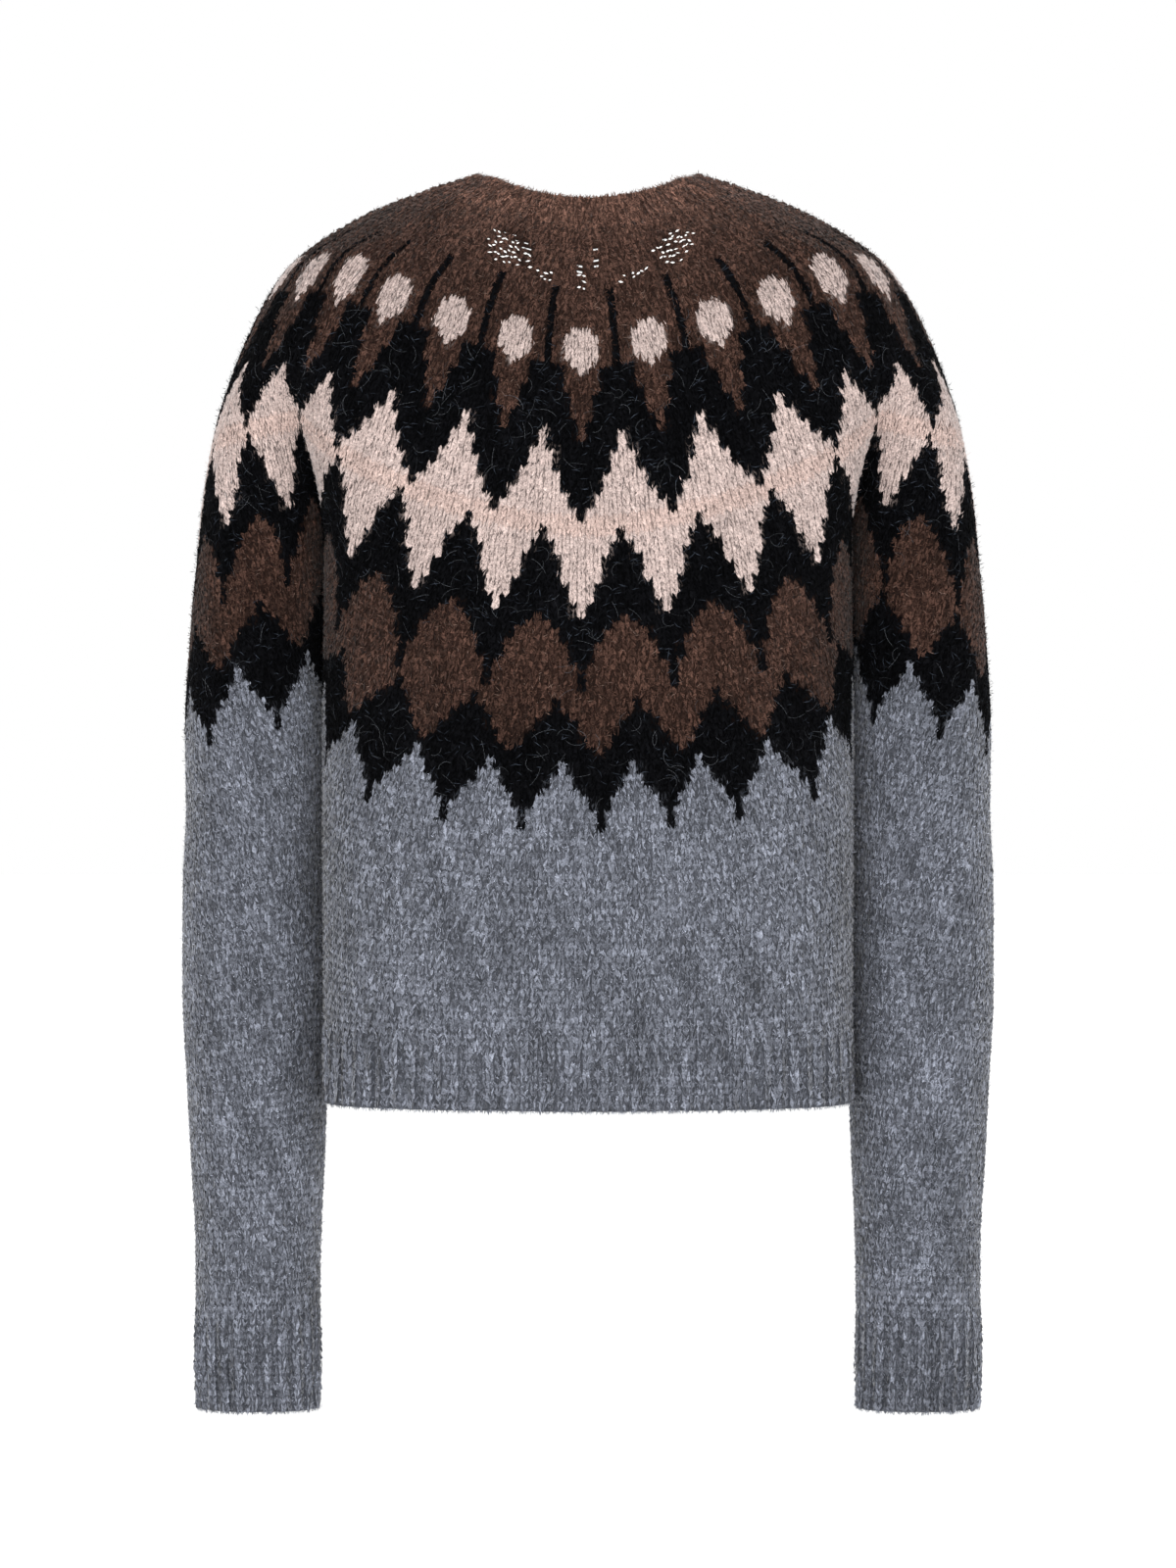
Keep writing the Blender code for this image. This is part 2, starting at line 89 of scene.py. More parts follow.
YOKE_COLUMNS = (
    "course", "side_x", "side_y", "side_z", "back_y", "back_z", "back_smile", "back_tuck",
    "front_y", "front_z", "front_smile", "front_tuck", "power", "roundness", "fold",
)
YOKE_ROWS = (
    (0.000, 0.0670, -0.003, 0.0200, 0.055, -0.0005, 0.0145, 0.000,
     -0.065, -0.0450, 0.037, 0.000, 1.80, 2.1, 0.00),
    (0.023, 0.0953, -0.004, 0.0111, 0.065, -0.0195, 0.0218, 0.000,
     -0.076, -0.0655, 0.046, 0.000, 1.50, 2.2, 0.00),
    (0.060, 0.1388, -0.006, -0.0064, 0.079, -0.0515, 0.0345, 0.000,
     -0.092, -0.0985, 0.063, 0.000, 1.20, 2.4, 0.00),
    (0.105, 0.1847, -0.008, -0.0398, 0.092, -0.0925, 0.0490, 0.000,
     -0.109, -0.1400, 0.075, 0.000, 1.50, 2.7, 0.00),
    (0.150, 0.2093, -0.010, -0.0820, 0.099, -0.1360, 0.041, 0.000,
     -0.121, -0.1835, 0.083, 0.000, 1.20, 2.9, 0.00),
    (0.180, 0.2205, -0.011, -0.1140, 0.102, -0.1650, 0.053, 0.000,
     -0.127, -0.2130, 0.097, 0.000, 1.50, 3.0, 0.12),
    (0.210, 0.2289, -0.012, -0.1450, 0.104, -0.1940, 0.066, 0.000,
     -0.131, -0.2425, 0.112, 0.000, 1.75, 3.0, 0.35),
    (0.250, 0.2367, -0.012, -0.1895, 0.106, -0.2330, 0.066, 0.007,
     -0.135, -0.2820, 0.113, 0.009, 1.80, 2.9, 0.75),
    (0.285, 0.2405, -0.012, -0.2285, 0.107, -0.2670, 0.052, 0.025,
     -0.137, -0.3170, 0.095, 0.032, 1.80, 2.8, 1.00),
)
TORSO_COLUMNS = (
    "course", "half_width", "back_y", "back_z", "back_smile", "back_tuck",
    "front_y", "front_z", "front_smile", "front_tuck", "roundness",
)
TORSO_ROWS = (
    (0.285, 0.1604, 0.107, -0.267, 0.052, 0.023, -0.137, -0.317, 0.095, 0.030, 2.8),
    (0.311, 0.1602, 0.107, -0.293, 0.042, 0.029, -0.137, -0.343, 0.092, 0.029, 2.8),
    (0.378, 0.1600, 0.106, -0.360, 0.036, 0.020, -0.134, -0.404, 0.078, 0.022, 2.8),
    (0.440, 0.1600, 0.103, -0.422, 0.024, 0.014, -0.130, -0.452, 0.052, 0.016, 2.8),
    (0.500, 0.1600, 0.099, -0.481, 0.013, 0.006, -0.126, -0.502, 0.032, 0.008, 2.7),
    (0.526, 0.1600, 0.0975, -0.5055, 0.0075, 0.003, -0.124, -0.521, 0.021, 0.005, 2.7),
    (0.571, 0.1605, 0.096, -0.549, 0.001, 0.000, -0.122, -0.555, 0.007, 0.000, 2.7),
)
SLEEVE_COLUMNS = (
    "course", "inner_z", "outer_z", "inner_x", "outer_x", "middle_y", "half_depth", "roundness",
)
SLEEVE_ROWS = (
    (0.285, -0.192, -0.2285, 0.1609, 0.2405, -0.0120, 0.060, 2.5),
    (0.311, -0.219, -0.2565, 0.1613, 0.2435, -0.0125, 0.060, 2.4),
    (0.378, -0.290, -0.3210, 0.1616, 0.2470, -0.0140, 0.058, 2.3),
    (0.430, -0.345, -0.3720, 0.1616, 0.2460, -0.0155, 0.055, 2.2),
    (0.480, -0.398, -0.4200, 0.1618, 0.2475, -0.0170, 0.052, 2.2),
    (0.540, -0.462, -0.4800, 0.1620, 0.2475, -0.0190, 0.048, 2.2),
    (0.600, -0.526, -0.5400, 0.1625, 0.2450, -0.0210, 0.044, 2.2),
    (0.650, -0.580, -0.5900, 0.1640, 0.2430, -0.0230, 0.041, 2.2),
    (0.690, -0.623, -0.6300, 0.1660, 0.2413, -0.0240, 0.038, 2.2),
    (0.735, -0.671, -0.6740, 0.1670, 0.2420, -0.0250, 0.036, 2.2),
    (0.765, -0.703, -0.7050, 0.1665, 0.2430, -0.0255, 0.035, 2.2),
    (0.797, -0.738, -0.7380, 0.1670, 0.2425, -0.0260, 0.034, 2.2),
)


def slopes(x, y):
    """The slope at each row for a smooth curve that never overshoots the rows' values."""
    step = np.diff(y) / np.diff(x)
    before, after = step[:-1], step[1:]
    same_way = before * after > 0
    total = np.where(same_way, before + after, 1)
    return np.concatenate([step[:1], np.where(same_way, 2 * before * after / total, 0), step[-1:]])


def reader(columns, rows):
    """A function of a course and a column's name that reads the table smoothly between rows."""
    table = np.array(rows, float)
    course = table[:, 0]

    def value(name, at):
        y = table[:, columns.index(name)]
        slope = slopes(course, y)
        i = int(np.clip(np.searchsorted(course, at) - 1, 0, len(course) - 2))
        span = course[i + 1] - course[i]
        u = (at - course[i]) / span
        return (
            y[i] * (1 + 2 * u) * (1 - u) ** 2
            + y[i + 1] * u * u * (3 - 2 * u)
            + span * (slope[i] * u * (1 - u) ** 2 - slope[i + 1] * u * u * (1 - u))
        )

    return value


yoke_at = reader(YOKE_COLUMNS, YOKE_ROWS)
torso_at = reader(TORSO_COLUMNS, TORSO_ROWS)
sleeve_at = reader(SLEEVE_COLUMNS, SLEEVE_ROWS)


def oval(half_x, centre_y, end_y, roundness, first=0.0, last=0.5 * pi):
    """Points (x, y) of a rounded oval, by default the quarter from its end to its side."""
    angle = np.linspace(first, last, LINE_POINTS)
    sine, cosine = np.sin(angle), np.cos(angle)
    power = 2 / roundness
    x = half_x * np.sign(sine) * np.abs(sine) ** power
    y = centre_y + (end_y - centre_y) * np.sign(cosine) * np.abs(cosine) ** power
    return np.stack([x, y], 1)


def lengths(line):
    return np.concatenate([[0], np.cumsum(np.linalg.norm(np.diff(line, axis=0), axis=1))])


def along(line, share):
    """The points at these shares of a line's length."""
    run = lengths(line)
    at = np.asarray(share) * run[-1]
    return np.stack([np.interp(at, run, line[:, 0]), np.interp(at, run, line[:, 1])], 1)


def share_at_y(line, y):
    """The share of its length at which a line passes y, nearest its start."""
    run = lengths(line)
    i = int(np.argmax((line[:-1, 1] - y) * (line[1:, 1] - y) <= 0))
    part = (y - line[i, 1]) / (line[i + 1, 1] - line[i, 1])
    return (run[i] + part * (run[i + 1] - run[i])) / run[-1]


def torso_oval(half_width, end_y, roundness):
    return oval(half_width, SIDE_Y, end_y, roundness)


def sleeve_half_oval(inner_x, outer_x, middle_y, depth, roundness):
    """Half of a sleeve's outline, from under the arm to outside; depth is signed, + at the back."""
    line = oval(0.5 * (outer_x - inner_x), middle_y, middle_y + depth, roundness, -0.5 * pi, 0.5 * pi)
    return line + (0.5 * (inner_x + outer_x), 0)


def corner_y(side):
    return UNDERARM_BACK_Y if side == "back" else UNDERARM_FRONT_Y


def torso_corner(side):
    """The share of a body quarter at which the underarm begins."""
    end_y = torso_at(f"{side}_y", DIVISION)
    line = torso_oval(TORSO_HALF_WIDTH, end_y, torso_at("roundness", DIVISION))
    return share_at_y(line, corner_y(side))


def sleeve_corner(side):
    """The share of a half sleeve at which the underarm ends."""
    depth = SLEEVE_HALF_DEPTH if side == "back" else -SLEEVE_HALF_DEPTH
    outer_x = sleeve_at("outer_x", DIVISION)
    line = sleeve_half_oval(SLEEVE_INNER_X, outer_x, SIDE_Y, depth, SLEEVE_ROUNDNESS)
    return share_at_y(line, corner_y(side))


CORNERS = {(part, side): find(side) for part, find in (("torso", torso_corner), ("sleeve", sleeve_corner))
           for side in ("back", "front")}


def course_height(end_z, smile, tuck, power, part):
    """Height of a course at a part, 0 to 1, of the way from its centre to the corner."""
    return end_z + smile * part**power + tuck * part**TUCK_POWER


def yoke_quarter(side, course, share):
    """Points of a quarter of the yoke, on the wearer's left, at the shares of a course."""
    share = np.asarray(share, float)
    get = {name: yoke_at(name, course) for name in YOKE_COLUMNS[1:]}
    end_y, end_z = get[f"{side}_y"], get[f"{side}_z"]
    depth = SLEEVE_HALF_DEPTH if side == "back" else -SLEEVE_HALF_DEPTH
    whole = along(oval(get["side_x"], get["side_y"], end_y, get["roundness"]), share)

    body_end, arm_start = CORNER_SHARE - WEB_SHARE, CORNER_SHARE + WEB_SHARE
    to_corner = np.clip(share / body_end, 0, 1)
    past_corner = np.clip((share - arm_start) / (1 - arm_start), 0, 1)
    across_web = np.clip((share - body_end) / (arm_start - body_end), 0, 1)[:, None]
    torso_share = CORNERS["torso", side]
    sleeve_share = CORNERS["sleeve", side]
    body = along(torso_oval(TORSO_HALF_WIDTH, end_y, get["roundness"]), to_corner * torso_share)
    arm = along(
        sleeve_half_oval(SLEEVE_INNER_X, get["side_x"], get["side_y"], depth, SLEEVE_ROUNDNESS),
        sleeve_share + past_corner * (1 - sleeve_share),
    )
    parted = body + across_web * (arm - body)

    plan = whole + get["fold"] * (parted - whole)
    smile, tuck = get[f"{side}_smile"], get[f"{side}_tuck"]
    height = course_height(end_z, smile, tuck, get["power"], to_corner)
    height = height + (get["side_z"] - (end_z + smile + tuck)) * past_corner
    return np.column_stack([plan, height])


def torso_quarter(side, course, share):
    """Points of a quarter of the body, on the wearer's left, at the shares of a course."""
    share = np.asarray(share, float)
    get = {name: torso_at(name, course) for name in TORSO_COLUMNS[1:]}
    line = torso_oval(get["half_width"], get[f"{side}_y"], get["roundness"])
    part = np.clip(share / CORNERS["torso", side], 0, 1)
    height = course_height(
        get[f"{side}_z"], get[f"{side}_smile"], get[f"{side}_tuck"], SMILE_POWER, part
    )
    return np.column_stack([along(line, share), height])


def sleeve_half(side, course, share):
    """Points of the back or front half of the left sleeve at the shares of a course."""
    share = np.asarray(share, float)
    get = {name: sleeve_at(name, course) for name in SLEEVE_COLUMNS[1:]}
    depth = get["half_depth"] if side == "back" else -get["half_depth"]
    line = sleeve_half_oval(get["inner_x"], get["outer_x"], get["middle_y"], depth, get["roundness"])
    corner = CORNERS["sleeve", side]
    part = np.clip((share - corner) / (1 - corner), 0, 1)
    height = get["inner_z"] + (get["outer_z"] - get["inner_z"]) * part
    return np.column_stack([along(line, share), height])


def corner_shares(form, side):
    """The shares at which a form has an underarm corner."""
    if form is yoke_quarter:
        return CORNER_SHARE - WEB_SHARE, CORNER_SHARE + WEB_SHARE
    return (CORNERS["torso" if form is torso_quarter else "sleeve", side],)


def faced(form, side, course, share):
    """Rows of a point and the unit normal there, away from the wearer, at shares of a course."""
    share = np.asarray(share, float)
    away = 1 if side == "back" else -1
    down = form(side, course + COURSE_NUDGE, share) - form(side, course - COURSE_NUDGE, share)
    across = form(side, course, share + SHARE_NUDGE) - form(side, course, share - SHARE_NUDGE)
    normal = away * np.cross(across, down)
    if abs(course - DIVISION) < 2 * SEAM_GAP:
        normal = away * np.cross(across, (0, 0, -1))
    normal /= np.linalg.norm(normal, axis=1, keepdims=True)
    return np.hstack([form(side, course, share), normal])


def mirrored(rows):
    return rows * (-1, 1, 1, -1, 1, 1)


def share_at_x(form, course, x):
    """The share at which a front course is this far from the centre."""
    near = np.linspace(0, 0.5, LINE_POINTS)
    return np.interp(x, form("front", course, near)[:, 0], near)


def body_form(course):
    return yoke_quarter if course < DIVISION else torso_quarter


@lru_cache(maxsize=None)
def half_ring(course):
    """The length of a course from the centre back to the centre front, round yoke or body."""
    form, shares = body_form(course), np.linspace(0, 1, FINE)
    return sum(lengths(form(side, course, shares))[-1] for side in ("back", "front"))


# ---------------------------------------------------------------- courses as fine lines

FINE = 260
BAND_POINTS = 49
TINY = 1e-12


def quarter_shares(form, side, first=0.0):
    """Shares over a quarter, from its edge to its side, with its corners among them."""
    return np.unique(np.concatenate([np.linspace(first, 1, FINE), corner_shares(form, side)]))


def yoke_line(course):
    """A course from the centre back, by the wearer's left side, to the front edge."""
    back = faced(yoke_quarter, "back", course, quarter_shares(yoke_quarter, "back"))
    edge = share_at_x(yoke_quarter, course, PANEL_EDGE)
    front = faced(yoke_quarter, "front", course, quarter_shares(yoke_quarter, "front", edge))
    return np.concatenate([back, front[-2::-1]]), 0


def back_line(course):
    return faced(torso_quarter, "back", course, quarter_shares(torso_quarter, "back")), 0


def front_line(course):
    """A course of the left front, from the side to the front edge; its places go on from the back's."""
    edge = share_at_x(torso_quarter, course, PANEL_EDGE)
    front = faced(torso_quarter, "front", course, quarter_shares(torso_quarter, "front", edge))
    back = torso_quarter("back", course, np.linspace(0, 1, FINE))
    return front[::-1], -lengths(back)[-1]


def sleeve_line(course):
    """A course of the left sleeve, from under the arm by the front, outside and back."""
    front = faced(sleeve_half, "front", course, quarter_shares(sleeve_half, "front"))
    back = faced(sleeve_half, "back", course, quarter_shares(sleeve_half, "back"))
    return np.concatenate([front, back[-2::-1]]), lengths(front[:, :3])[-1]


def band_line(right, left, lift):
    """A function of a course: its line over a strip of the front between two distances from the
    centre, + towards the wearer's left, lifted off the front's own face."""

    def line(course):
        form = body_form(course)
        x = np.linspace(right, left, BAND_POINTS)
        rows = faced(form, "front", course, share_at_x(form, course, np.abs(x)))
        rows = np.where(x[:, None] < 0, mirrored(rows), rows)
        rows[:, :3] += lift * rows[:, 3:]
        return rows, -right

    return line


# Ribs fade in from their seam, wander a little, and have painted light on their ridges and painted
# shade in their grooves. The level is the height of a rib's wave that lies on the panel's own face,
# and the groove at which the painted shade is nil.
RIB_FADE = 0.012
RIB_WANDER = 0.10
RIB_WANDER_LENGTH = 0.013
RIB_WANDER_TURN = 2.3
RIB_LEVEL = 0.4
GROOVE_LEVEL = 0.3
# A painted shadow along the seam under the neckband: how dark it is at its middle, and how wide
NECKBAND_SHADOW = 0.48
NECKBAND_SHADOW_WIDTH = 0.003

# Soft folds: waves across the cloth that wander as they run down it, and reach their full height
# at a depth below the shoulders. Each wave's height, pace and start across, and how much, how
# fast and from where it wanders.
FOLD_HEIGHT = 0.0017
FOLD_LENGTH = 0.034
FOLD_DEPTH = 0.3
FOLDS = ((1, 1.7, 0, 0.9, 0.31, 0), (0.6, 2.9, 1.1, 0.7, 0.23, 1))


def folds(points):
    """How far soft folds lift the cloth."""
    x, z = points[:, 0] / FOLD_LENGTH, points[:, 2] / FOLD_LENGTH
    down = np.clip(-points[:, 2] / FOLD_DEPTH, 0, 1)
    wave = sum(height * np.sin(across * x + start + wander * np.sin(pace * z + wander_start))
               for height, across, start, wander, pace, wander_start in FOLDS)
    return FOLD_HEIGHT * down * wave


class Panel:
    """A piece of knitting: its courses as lines in space, read at any place.

    A two-sided panel is drawn on the wearer's left, and places below 0 are their mirror image.
    A twin is the mirror image of its line, on the wearer's right. A loop is closed round.
    """

    def __init__(self, name, line, first, last, two_sided=False, twin=False, loop=False, ribs=0,
                 rib_depth=0.0, groove_painted_shade=0.0):
        self.name, self.line, self.first, self.last = name, line, first, last
        self.two_sided, self.twin, self.loop = two_sided, twin, loop
        self.ribs, self.rib_depth, self.groove_painted_shade = ribs, rib_depth, groove_painted_shade
        self.bare = lru_cache(maxsize=None)(self._bare)
        self.shaped = lru_cache(maxsize=None)(self._shaped)

    def _bare(self, course):
        rows, zero = self.line(course)
        return lengths(rows[:, :3]) - zero, rows

    def rib_wave(self, course, place):
        """From -1 in a groove to 1 on a rib."""
        low, high = self.bare(course)[0][[0, -1]]
        round_body = self.line in (yoke_line, back_line, front_line)
        girth = 2 * half_ring(course) if round_body else high - low
        turn = RIB_WANDER_TURN * np.sin(place / RIB_WANDER_LENGTH)
        wander = RIB_WANDER * np.sin(course / RIB_WANDER_LENGTH + turn)
        return np.cos(2 * pi * (self.ribs * place / girth + wander))

    def rib_fade(self, course):
        return min(max((course - self.first) / RIB_FADE, 0), 1)

    def shade(self, course, place):
        """Painted light and shade: lighter on ribs and darker in their grooves, and a painted shadow along
        the seam under the neckband.
        """
        if not self.groove_painted_shade:
            return np.full(len(place), 1 - NECKBAND_SHADOW * np.exp(-((course - NECKBAND_END) / NECKBAND_SHADOW_WIDTH) ** 2))
        groove = 0.5 - 0.5 * self.rib_wave(course, place)
        return 1 - self.rib_fade(course) * self.groove_painted_shade * (groove - GROOVE_LEVEL)

    def _shaped(self, course):
        """The line with the relief of ribs and folds on it."""
        places, rows = self.bare(course)
        lift = folds(rows[:, :3])
        if self.rib_depth:
            wave = self.rib_wave(course, places)
            lift = lift + self.rib_fade(course) * self.rib_depth * (wave - RIB_LEVEL)
        return places, rows[:, :3] + lift[:, None] * rows[:, 3:]

    def ends(self, course):
        places, _ = self.bare(course)
        return (-places[-1] if self.two_sided else places[0]), places[-1]

    def inside(self, course):
        """The nearest course that is on the panel."""
        return np.clip(course, self.first + SEAM_GAP, self.last - SEAM_GAP)

    def at(self, course, place):
        """Points, the way up and the way out at places of a course."""
        nudge = 0.5 * ROW
        places, points = self.shaped(course)
        above = self.shaped(course - nudge)[1]
        below = self.shaped(course + nudge)[1]
        out = self.bare(course)[1][:, 3:]
        across = np.gradient(points, axis=0)
        normal = np.cross(across, below - above)
        normal *= np.sign(np.sum(normal * out, axis=1, keepdims=True))
        up = np.cross(normal, across)
        up *= np.sign(np.sum(up * (above - below), axis=1, keepdims=True))
        read = np.abs(place) if self.two_sided else np.asarray(place, float)
        found = []
        for field in (points, up, normal):
            value = np.stack([np.interp(read, places, field[:, k]) for k in range(3)], 1)
            if field is not points:
                value /= np.linalg.norm(value, axis=1, keepdims=True) + TINY
            if self.two_sided:
                value[:, 0] *= np.where(np.asarray(place) < 0, -1, 1)
            if self.twin:
                value[:, 0] *= -1
            found.append(value)
        return found


# ---------------------------------------------------------------- the pattern

ROW = 0.00413
BROWN, BLACK, PEACH, GREY = range(4)

# Between grids the knitter adds stitches, so the motifs of one don't line up with those of the
# next. Each side of a grid has so many motifs on the back and so many by the arm, where the cloth
# is crowded above and stretched below. Then, at two courses: the course, where the middle motif
# is, and how far apart the motifs are on the right, on the right by the arm, on the left, and on
# the left by the arm.
MOTIF_STEPS = {
    "A": (3, 2, (0.109, 0.004, 0.041, 0.038, 0.040, 0.030), (0.214, 0.004, 0.055, 0.038, 0.053, 0.036)),
    "B": (4, 2, (0.220, 0.004, 0.047, 0.035, 0.045, 0.034), (0.275, 0.004, 0.052, 0.046, 0.052, 0.040)),
    "C": (2, 2, (0.323, -0.006, 0.047, 0.048, 0.049, 0.049), (0.354, -0.007, 0.050, 0.054, 0.054, 0.057)),
    "D": (2, 2, (0.361, -0.006, 0.040, 0.049, 0.043, 0.049), (0.401, -0.008, 0.042, 0.054, 0.048, 0.054)),
}

# The grid of the rows before each row, and the last one; and in the same way the stitches in a repeat
GRID_ENDS = ((53, "A"), (78, "B"), (86, "C"))
LAST_GRID = "D"
STITCH_ENDS = ((17, 6), (23, 8))
STITCHES = 10
ROUNDING = 1e-6

# First row, yarn, grid, where in the repeat the motif is centred, its width in stitches row by row
MOTIFS = (
    (17, BROWN, "A", 0.0, (9,) * 12 + (5,) * 4 + (3,) * 4 + (1,) * 3),
    (23, PEACH, "A", 0.0, (3, 5, 5, 5, 5, 3, 1)),
    (39, PEACH, "A", 0.5, (1,) * 3 + (3,) * 3 + (5,) * 3 + (7,) * 2 + (9,) * 2 + (10,)),
    (53, PEACH, "B", 0.0, (9,) * 2 + (7,) * 2 + (5,) * 4 + (3,) * 3 + (1,) * 2),
    (66, BROWN, "B", 0.5, (1, 3, 5, 5, 7, 7, 7, 9, 9, 9, 9, 10)),
    (78, BROWN, "C", 0.0, (9, 9, 7, 5, 5, 3, 3, 1)),
    (87, BLACK, "D", 0.0, (9, 9, 7, 7, 5, 3, 3, 1, 1, 1)),
)
BROWN_ROWS = 17
DARK_ROWS = 87
BAND_STITCH = 0.00375

# On each sleeve below the yoke: the middle of one motif, from the outside of the arm, and the
# repeat; and more repeats than a sleeve has either way
SLEEVE_GRIDS = {
    "left": {"C": (0.064, 0.053), "D": (0.100, 0.046)},
    "right": {"C": (0.088, 0.048), "D": (0.073, 0.044)},
}
SLEEVE_REPEATS = np.array([-9.0, 9.0])

# The least share of a stitch's width that lies between its middle and a panel's edge
STITCH_MARGIN = 0.3


def grid_of(row):
    return next((name for end, name in GRID_ENDS if row < end), LAST_GRID)


def yarn_at(row, repeats):
    """The yarn of each stitch of a row, by how many repeats it is from the grid's middle."""
    ground = BROWN if row < BROWN_ROWS else BLACK if row < DARK_ROWS else GREY
    yarn = np.full(len(repeats), ground)
    for first, colour, grid, centre, widths in MOTIFS:
        if first <= row < first + len(widths) and grid == grid_of(row):
            off = np.abs((repeats - centre + 0.5) % 1 - 0.5)
            yarn[off * STITCHES < 0.5 * widths[row - first] + ROUNDING] = colour
    return yarn


def stitches_in_repeat(row):
    return next((number for end, number in STITCH_ENDS if row < end), STITCHES)


def back_quarter(course):
    return lengths(yoke_quarter("back", course, np.linspace(0, 1, FINE)))[-1]


def motif_centres(near, far, row):
    """A row's middle motif, and how far the others are from the centre back, right and left."""
    _, middle, right, right_far, left, left_far = row
    right = np.cumsum([right] * near + [right_far] * far) - middle
    left = np.cumsum([left] * near + [left_far] * far) + middle
    return middle, right, left


def body_grid(name, course):
    """A grid round yoke or body: places, and the repeats that they are from its middle."""
    near, far, start, end = MOTIF_STEPS[name]
    first, last = start[0], end[0]
    part = min(max((course - first) / (last - first), 0), 2)
    start, end = motif_centres(near, far, start), motif_centres(near, far, end)
    middle, right, left = (a + part * (b - a) for a, b in zip(start, end))
    if course < first:
        narrowing = half_ring(course) / half_ring(first)
        right, left = right * narrowing, left * narrowing
    places, repeats = [middle], [0.0]
    for way, row, front_row in ((-1, right, start[1]), (1, left, start[2])):
        number = len(row)
        step = (front_row[-1] - front_row[0]) / (number - 1)
        to_front = np.floor((half_ring(first) - front_row[-1]) / step) + 0.5
        places += [*(way * row), way * half_ring(course)]
        repeats += [*(way * np.arange(1, number + 1)), way * (number + to_front)]
    order = np.argsort(places)
    return np.array(places)[order], np.array(repeats)[order]


class Chart:
    """Where a panel's stitches lie and which yarn each is knitted in."""

    def __init__(self, panel, part):
        """The part is body, the left or right sleeve, or a band."""
        self.panel, self.part = panel, part
        self.grid = lru_cache(maxsize=None)(self._grid)

    def _grid(self, row, course):
        name = grid_of(row)
        if self.part == "band":
            return np.array([-1.0, 1.0]), (np.array([-1.0, 1.0]) / BAND_STITCH + 0.5) / STITCHES
        if self.part == "body":
            places, repeats = body_grid(name, course)
            return (-places[::-1], repeats[::-1]) if self.panel.twin else (places, repeats)
        if name in ("C", "D"):
            middle, repeat = SLEEVE_GRIDS[self.part][name]
            return middle + repeat * SLEEVE_REPEATS, SLEEVE_REPEATS
        places, repeats = body_grid(name, DIVISION - SEAM_GAP)
        way = 1 if self.part == "left" else -1
        return (back_quarter(DIVISION - SEAM_GAP) - way * places)[::-way], repeats[::-way]

    def yarn(self, row, repeats):
        return np.full(len(repeats), GREY) if self.part == "band" else yarn_at(row, repeats)

    def read(self, course, place):
        """The row at a course, and at places along it the repeats and the yarn."""
        row = int(course // ROW)
        places, repeats = self.grid(row, course)
        repeats = np.interp(place, places, repeats)
        return row, repeats, self.yarn(row, repeats)

    def columns(self, row, course):
        """A row's stitches: their places, widths, yarn and numbers from the grid's middle."""
        places, repeats = self.grid(row, course)
        number = stitches_in_repeat(row)
        low, high = (np.interp(end, places, repeats) * number for end in self.panel.ends(course))
        low, high = min(low, high), max(low, high)
        columns = np.arange(np.ceil(low + STITCH_MARGIN), np.floor(high - STITCH_MARGIN) + 1) / number
        if repeats[0] > repeats[-1]:
            places, repeats = places[::-1], repeats[::-1]
        place = np.interp(columns, repeats, places)
        numbers = np.round(columns * number).astype(int)
        return place, np.abs(np.gradient(place)), self.yarn(row, columns), numbers


# Thin places in the brown knitting below the neckband, where light comes through between stitches:
# the course and place of their middle, half their length and width, and the share of their
# stitches that is open
OPENWORK = (
    (0.0520, 0.0480, 0.014, 0.015, 0.80),
    (0.0530, -0.0530, 0.013, 0.013, 0.80),
    (0.0650, 0.0285, 0.0035, 0.011, 0.95),
    (0.0660, -0.0250, 0.0035, 0.013, 0.85),
    (0.0600, 0.0050, 0.010, 0.003, 1.00),
    (0.0500, -0.0040, 0.003, 0.008, 0.60),
    (0.0420, -0.0100, 0.003, 0.030, 0.15),
)
OPEN_ROWS = range(7, 19)

# Half of an opening, in stitch widths and rows; how far below the front neckline light still comes
# straight through; and the pale flecks of painted light, two to most of the stitches that lie lower
OPEN_HALF_WIDTH = 0.28
OPEN_HALF_HEIGHT = 0.32
SIGHT_RISE = 0.006
FLECK_OFFSETS = (-0.0015, 0.0015)
FLECK_SHARE = 0.75


def seen_through(points):
    """Whether the neck opening is straight behind these points of the back."""
    edge = yoke_quarter("front", NECK_EDGE, np.linspace(0, 1, FINE))
    return points[:, 2] + SIGHT_RISE > np.interp(np.abs(points[:, 0]), edge[:, 0], edge[:, 2])


def open_stitches(chart):
    """The open stitches of the yoke: the row and number of each hole, and places of pale flecks of painted
    light.
    """
    holes, flecks = set(), []
    for row in OPEN_ROWS:
        course = (row + 0.5) * ROW
        place, _, yarn, numbers = chart.columns(row, course)
        for middle, beside, half_length, half_width, share in OPENWORK:
            reach = np.hypot((course - middle) / half_length, (place - beside) / half_width)
            chosen = (reach < 1) & (yarn == BROWN) & (random.random(len(place)) < share)
            through = seen_through(chart.panel.at(course, place)[0])
            holes.update((row, int(number)) for number in numbers[chosen & through])
            for spot in place[chosen & ~through]:
                flecks += [(course, spot + off) for off in FLECK_OFFSETS if random.random() < FLECK_SHARE]
    return holes, flecks


def closed(row, numbers, holes):
    """Which of a row's stitches, by their numbers, aren't open ones."""
    return ~np.isin(numbers, [number for open_row, number in holes if open_row == row])
